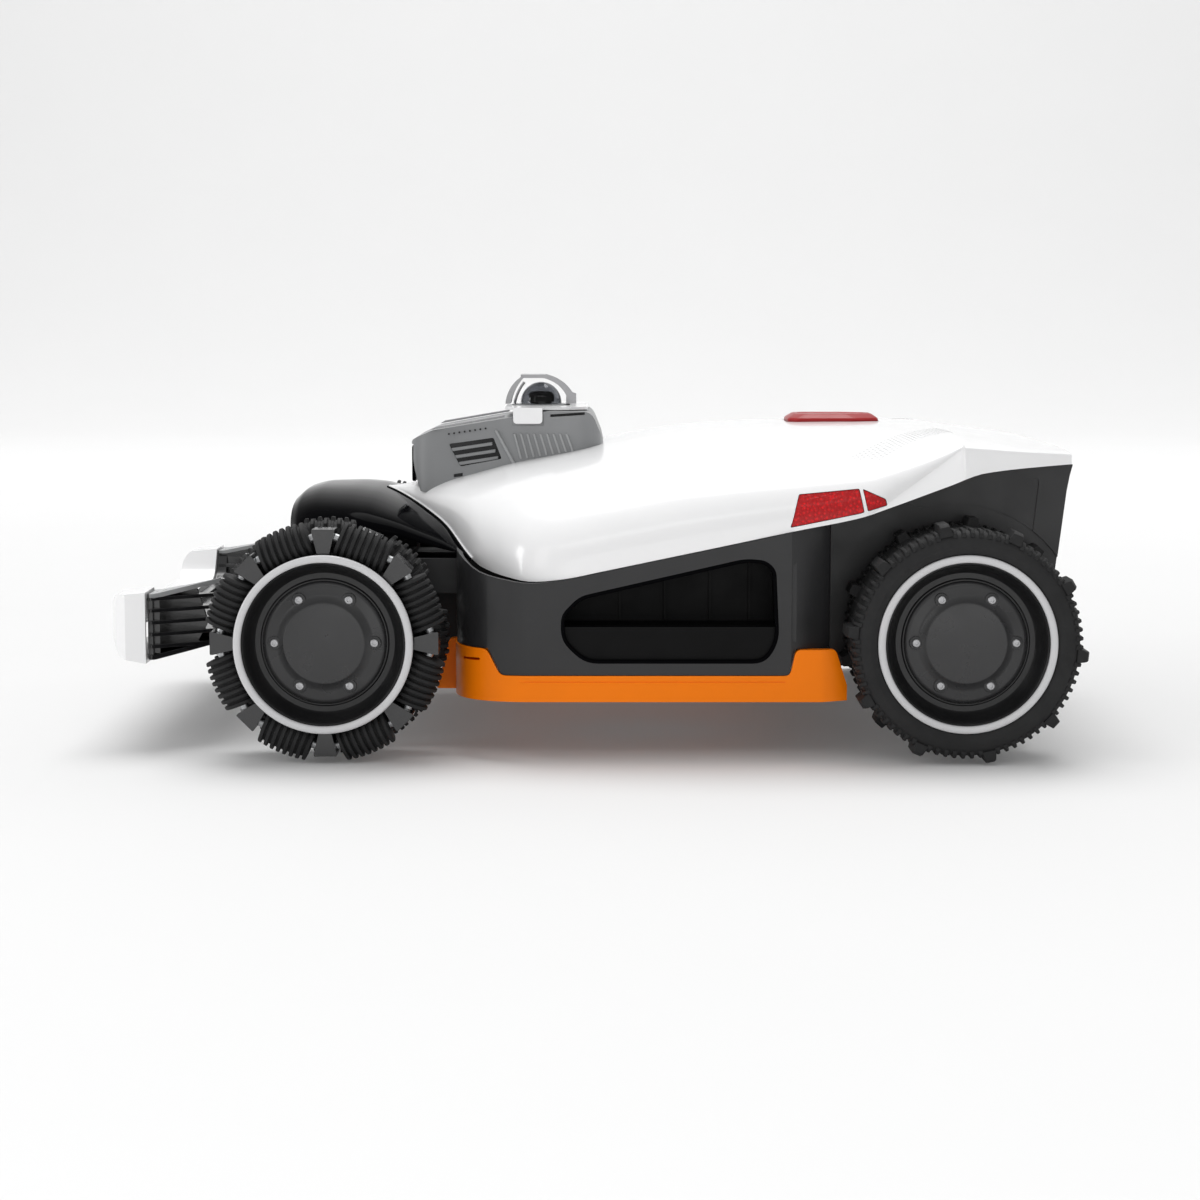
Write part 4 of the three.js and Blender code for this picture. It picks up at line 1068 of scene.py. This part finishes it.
def range_finder():
    """Smoked dome over a rotor with a flat window."""
    base, radius, wall = 243.0, 16.0, 1.3
    arc = [(radius * math.cos(t), base + 0.8 + radius * math.sin(t)) for t in spaced(0, math.pi / 2, 16)]
    hollow = [(max(r - wall * (r / radius), 0), z - wall * ((z - base) / radius)) for r, z in reversed(arc)]
    dome = upright(lathe([(radius - wall, base), (radius, base), *arc, *hollow], 72))
    piece("dome_glass_shell", shifted(dome, LIDAR_X), GLASS, replaces="lidar_dome", crease=60)
    rotor = upright(lathe(from_plane(
        base, (0, 0), (8.4, 0), (8.4, 1.2), (10.4, 1.4), (10.4, 7.0), (9.4, 8.0), (7.0, 9.4), (0, 9.6)), 48))
    rotor = combined(rotor, block(-14, -8.6, -5, 5, base + 2.4, base + 6.6))
    piece("range_rotor", shifted(rotor, LIDAR_X), GLOSS_BLACK, "lidar_rotor", "lidar_rotor",
          slot="tub_black", bevel=0.3, segments=1)


def range_guard():
    """Roll cage over the dome: bowed side bars tied at the front, the top and the rear."""
    foot, top, under = 243.1, 265.7, 263.0
    bars = []
    for y in (-11.0, 11.0):
        outer = bezier((-67, foot), (-65.5, 256), (-56, under)) + [(-53, top)]
        outer += bezier((-36.5, top), (-22, 262.5), (-15.2, 251.4)) + [(-12.2, 250.5), (-12, foot)]
        inner = bezier((-17.6, foot), (-21.0, 259.0), (-37.5, under))
        inner += bezier((-53.2, under), (-61.2, 254), (-63.0, foot))
        bars.append(prism(outer + inner, y - 1.9, y + 1.9))
    whole = fused(*bars, block(-55, -36, -12, 12, under, top), block(-19.8, -12.1, -12, 12, foot, 248.6),
                  block(-66.2, -63.0, -12, 12, foot, 247))
    piece("range_guard", whole, GUARD_GREY, replaces="lidar_guard", bevel=0.6)
    bow = [(x, 0, z) for x, z in bezier((-60.0, foot), (-58.5, 252), (-52.5, 259.5))]
    piece("range_guard_inner_bow", sweep(bow, oval(1.1, 4.0, 12), up=(0, 1, 0)), GUARD_GREY)


# ---- bumper
BUMPER_LOW, COVER_BACK_X, RAIL_Y = 92.0, -317.6, 60.0
FINS, FIN_Z, FIN_PITCH, FIN_THICK = 5, 74.2, 8.6, 2.6
END_Y, WEB_Y, WEB_THICK = 191, 157, 3


def bumper_plan(x0, x1, half, corner):
    left = bezier((x0 + corner, -half), (x0 + 3, -half + 6), (x0, -half + corner + 18))
    return [(x1, -half), *mirrored(left), (x1, half)]


def bumper_space(inset):
    """What the bumper may fill, as seen from the front: high at both ends, low between the wheels."""
    low = BUMPER_LOW - inset
    half = fillet([(0, low), (140 + inset, low), (166 + inset, 130), (220, 130), (220, 40), (0, 40)],
                  [0, 14, 0, 0, 0, 0], 5)[1:-1]
    return prism(half + [(-y, z) for y, z in reversed(half)], -360, -240, "x")


def bumper():
    """White cover; behind it dark fins on a back plate, webs and rails, and a roof over each end, light grey
    as a painted highlight on its lit top.
    """
    side = fillet([(BUMPER_X, 84), (BUMPER_X + 9, 67.6), (COVER_BACK_X, 64), (COVER_BACK_X, 115),
                   (BUMPER_X + 5, 113), (BUMPER_X, 104)], [5, 5, 0, 0, 4, 4], 4)
    plan = prism(bumper_plan(BUMPER_X, COVER_BACK_X, BUMPER_HALF, 14), 50, 130, "z")
    cap = common(prism(side, -220, 220), plan, bumper_space(0))
    hollow = prism(bumper_plan(BUMPER_X + 4, -310, BUMPER_HALF - 4, 12), 69, 110, "z")
    cap = combined(cap, common(hollow, bumper_space(4)))
    piece("bumper_cap", cap, WHITE, "bumper", "bumper_cover", bevel=1.6, segments=4, crease=28)
    fin_plan = fillet(mirrored([(-316, -191), (-290, -174), (-267, -156), (-258.2, -130)]), 3, 3)
    fins = [prism(fin_plan, FIN_Z + FIN_PITCH * i, FIN_Z + FIN_THICK + FIN_PITCH * i, "z")
            for i in range(FINS)]
    plates = fused(block(-317.1, -313.4, -188, 188, 66, 113.4), block(-314, -309, -184, 184, 70, 110))
    shapes = [common(shape, bumper_space(3)) for shape in (plates, *fins)]
    # The roofs are light grey as a painted highlight for their lit tops.
    roof = fillet([(-316, 110), (-312, 110), (-262, 120.2), (-261.2, 121.8), (-262, 123.4), (-312, 113.5),
                   (-316, 113.5)], 0.8, 2)
    floor = fillet([(-316, 66), (-312, 66), (-262, 76.5), (-261.2, 78), (-262, 79.5), (-312, 69.6),
                    (-316, 69.6)], 0.8, 2)
    inside = prism(fin_plan, 50, 140, "z")
    roofs = both_sides(common(prism(roof, -END_Y, -WEB_Y), inside))
    piece("bumper_roofs", joined(*roofs), HIGHLIGHT_GREY, "bumper", bevel=0.6)
    web = fillet([(-312, 75), (-286, 75), (-278, 90), (-286, 116), (-312, 111)], 3, 3)
    shapes += [common(prism(floor, -END_Y, END_Y), inside)]
    shapes += both_sides(prism(web, -WEB_Y - WEB_THICK, -WEB_Y))
    for y in (-RAIL_Y, RAIL_Y):
        shapes += [block(-264, -200, y - 7.8, y + 7.8, 121.4, 130.6)]
        shapes += [block(-264, -255, y - 7.8, y + 7.8, 74, 130.6)]
    gusset = fillet([(-310, 69), (-292, 73), (-286, 80), (-292, 88), (-310, 88)], 3, 3)
    shapes += [prism(gusset, y, y + 6) for y in (-104, 98)]
    piece("bumper_grille", joined(*shapes), FRAME_BLACK, "bumper", "bumper_frame", bevel=0.8, segments=3)


# ---- CAD pieces that stay
def dress(name, look, bevel):
    """Gives a CAD node its material, rounded edges and even shading."""
    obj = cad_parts[name]
    obj.data.materials.clear()
    obj.data.materials.append(look[0])
    rounding = obj.modifiers.new("edge_rounding", "BEVEL")
    rounding.width, rounding.segments = bevel * MM, 2
    rounding.limit_method, rounding.angle_limit = "ANGLE", math.radians(34)
    rounding.harden_normals = True


def dressed_nodes():
    for name, look, bevel in (("chassis_tub", TUB_BLACK, 1.2), ("battery_pack", TUB_BLACK, 2.0),
                              ("main_board", BOARD, 0.3), ("front_axle_beam", ALLOY, 1.2),
                              ("deck_carrier", ORANGE, 1.0)):
        dress(name, look, bevel)
    for label in SIDES.values():
        dress(f"rear_motor_{label}", ALLOY, 1.0)
        dress(f"cutting_disc_{label}", ALLOY, 0.6)
        for k in range(3):
            dress(f"blade_{label}_{k + 1}", STEEL, 0.25)


# ---- studio, in metres
# Lamps: place, the point they face, power in watts, width, and height where it differs.
LAMPS = {
    "front_fill": ((-2.6, -3.2, 1.6), (-0.1, -0.2, 0.1), 7.0, 0.8, 2.4),
    "hub_strip": ((0.1, -3.0, 2.4), (0, -0.2, 0.1), 8.0, 3.2, 0.5),
    "low_fill": ((0.3, -3.4, 0.45), (0.05, -0.2, 0.1), 7.0, 2.6, 0.8),
    "side_strip": ((-2.7, -1.0, 0.7), (-0.1, -0.1, 0.1), 15.0, 0.5, 1.6),
    "tail_rim": ((2.8, 1.4, 1.6), (0, 0, 0.15), 6.0, 1.4, None),
    "backdrop_wash": ((0, 3.0, 4.5), (0, 7.0, 1.6), 165.0, 7.0, 1.5),
}


def studio_paper():
    """Matt paper with a little light of its own."""
    material, shader = new_shader("studio_paper", Roughness=0.85, Specular_IOR_Level=0.1,
                                  Emission_Color=(1.0, 1.0, 1.0, 1.0), Emission_Strength=0.07)
    grey = (0.70, 0.70, 0.70)
    vary_colour(shader, noise(shader, 3.0, 2.0), scaled(grey, 0.997), scaled(grey, 1.003))
    return material


def backdrop():
    """A pale floor that runs up in a curve into a pale backdrop."""
    reach, back, radius = 14.0, 7.0, 2.5
    curve = [(back - radius + radius * math.sin(t), radius * (1 - math.cos(t)))
             for t in spaced(0, TURN / 4, 24)]
    line = [(-9.0, 0.0), *curve, (back, 9.0)]
    mesh = raw_mesh("studio_floor", skin([[(x, y, z) for y, z in line] for x in (-reach, reach)]))
    mesh.materials.append(studio_paper())
    mesh.polygons.foreach_set("use_smooth", [True] * len(mesh.polygons))
    linked("studio_floor", mesh)


def lights():
    """An even light all round, a soft one from above, and lamps."""
    world = bpy.data.worlds.new("studio_world")
    bpy.context.scene.world = world
    world.use_nodes = True
    background = world.node_tree.nodes["Background"]
    background.inputs["Color"].default_value = (1.0, 1.0, 1.0, 1)
    background.inputs["Strength"].default_value = 0.50
    sun = bpy.data.lights.new("ceiling", "SUN")
    sun.energy, sun.angle = 2.15, math.radians(45)
    linked("ceiling", sun).rotation_euler = (math.radians(-20), 0, 0)
    for name, (place, target, power, width, height) in LAMPS.items():
        data = bpy.data.lights.new(name, "AREA")
        data.energy, data.size = power, width
        if height:
            data.shape, data.size_y = "RECTANGLE", height
        lamp = linked(name, data)
        lamp.location = place
        lamp.rotation_euler = (Vector(target) - Vector(place)).to_track_quat("-Z", "Y").to_euler()


def camera():
    data = bpy.data.cameras.new("camera")
    data.lens, data.sensor_width, data.clip_end = 78.0, 36.0, 60.0
    eye = linked("camera", data)
    eye.location = (0.0065, -2.0358, 0.3116)
    eye.rotation_euler = (math.radians(90 - 6.2555), 0, 0)
    bpy.context.scene.camera = eye
    bpy.context.scene.view_settings.view_transform = "Standard"


def main():
    camera()
    backdrop()
    lights()
    rear_wheels()
    front_wheels()
    side_panels()
    skirts()
    bonnet()
    stop_button()
    nose()
    tail_housing()
    head()
    camera_front()
    head_top()
    range_finder()
    range_guard()
    bumper()
    dressed_nodes()


main()
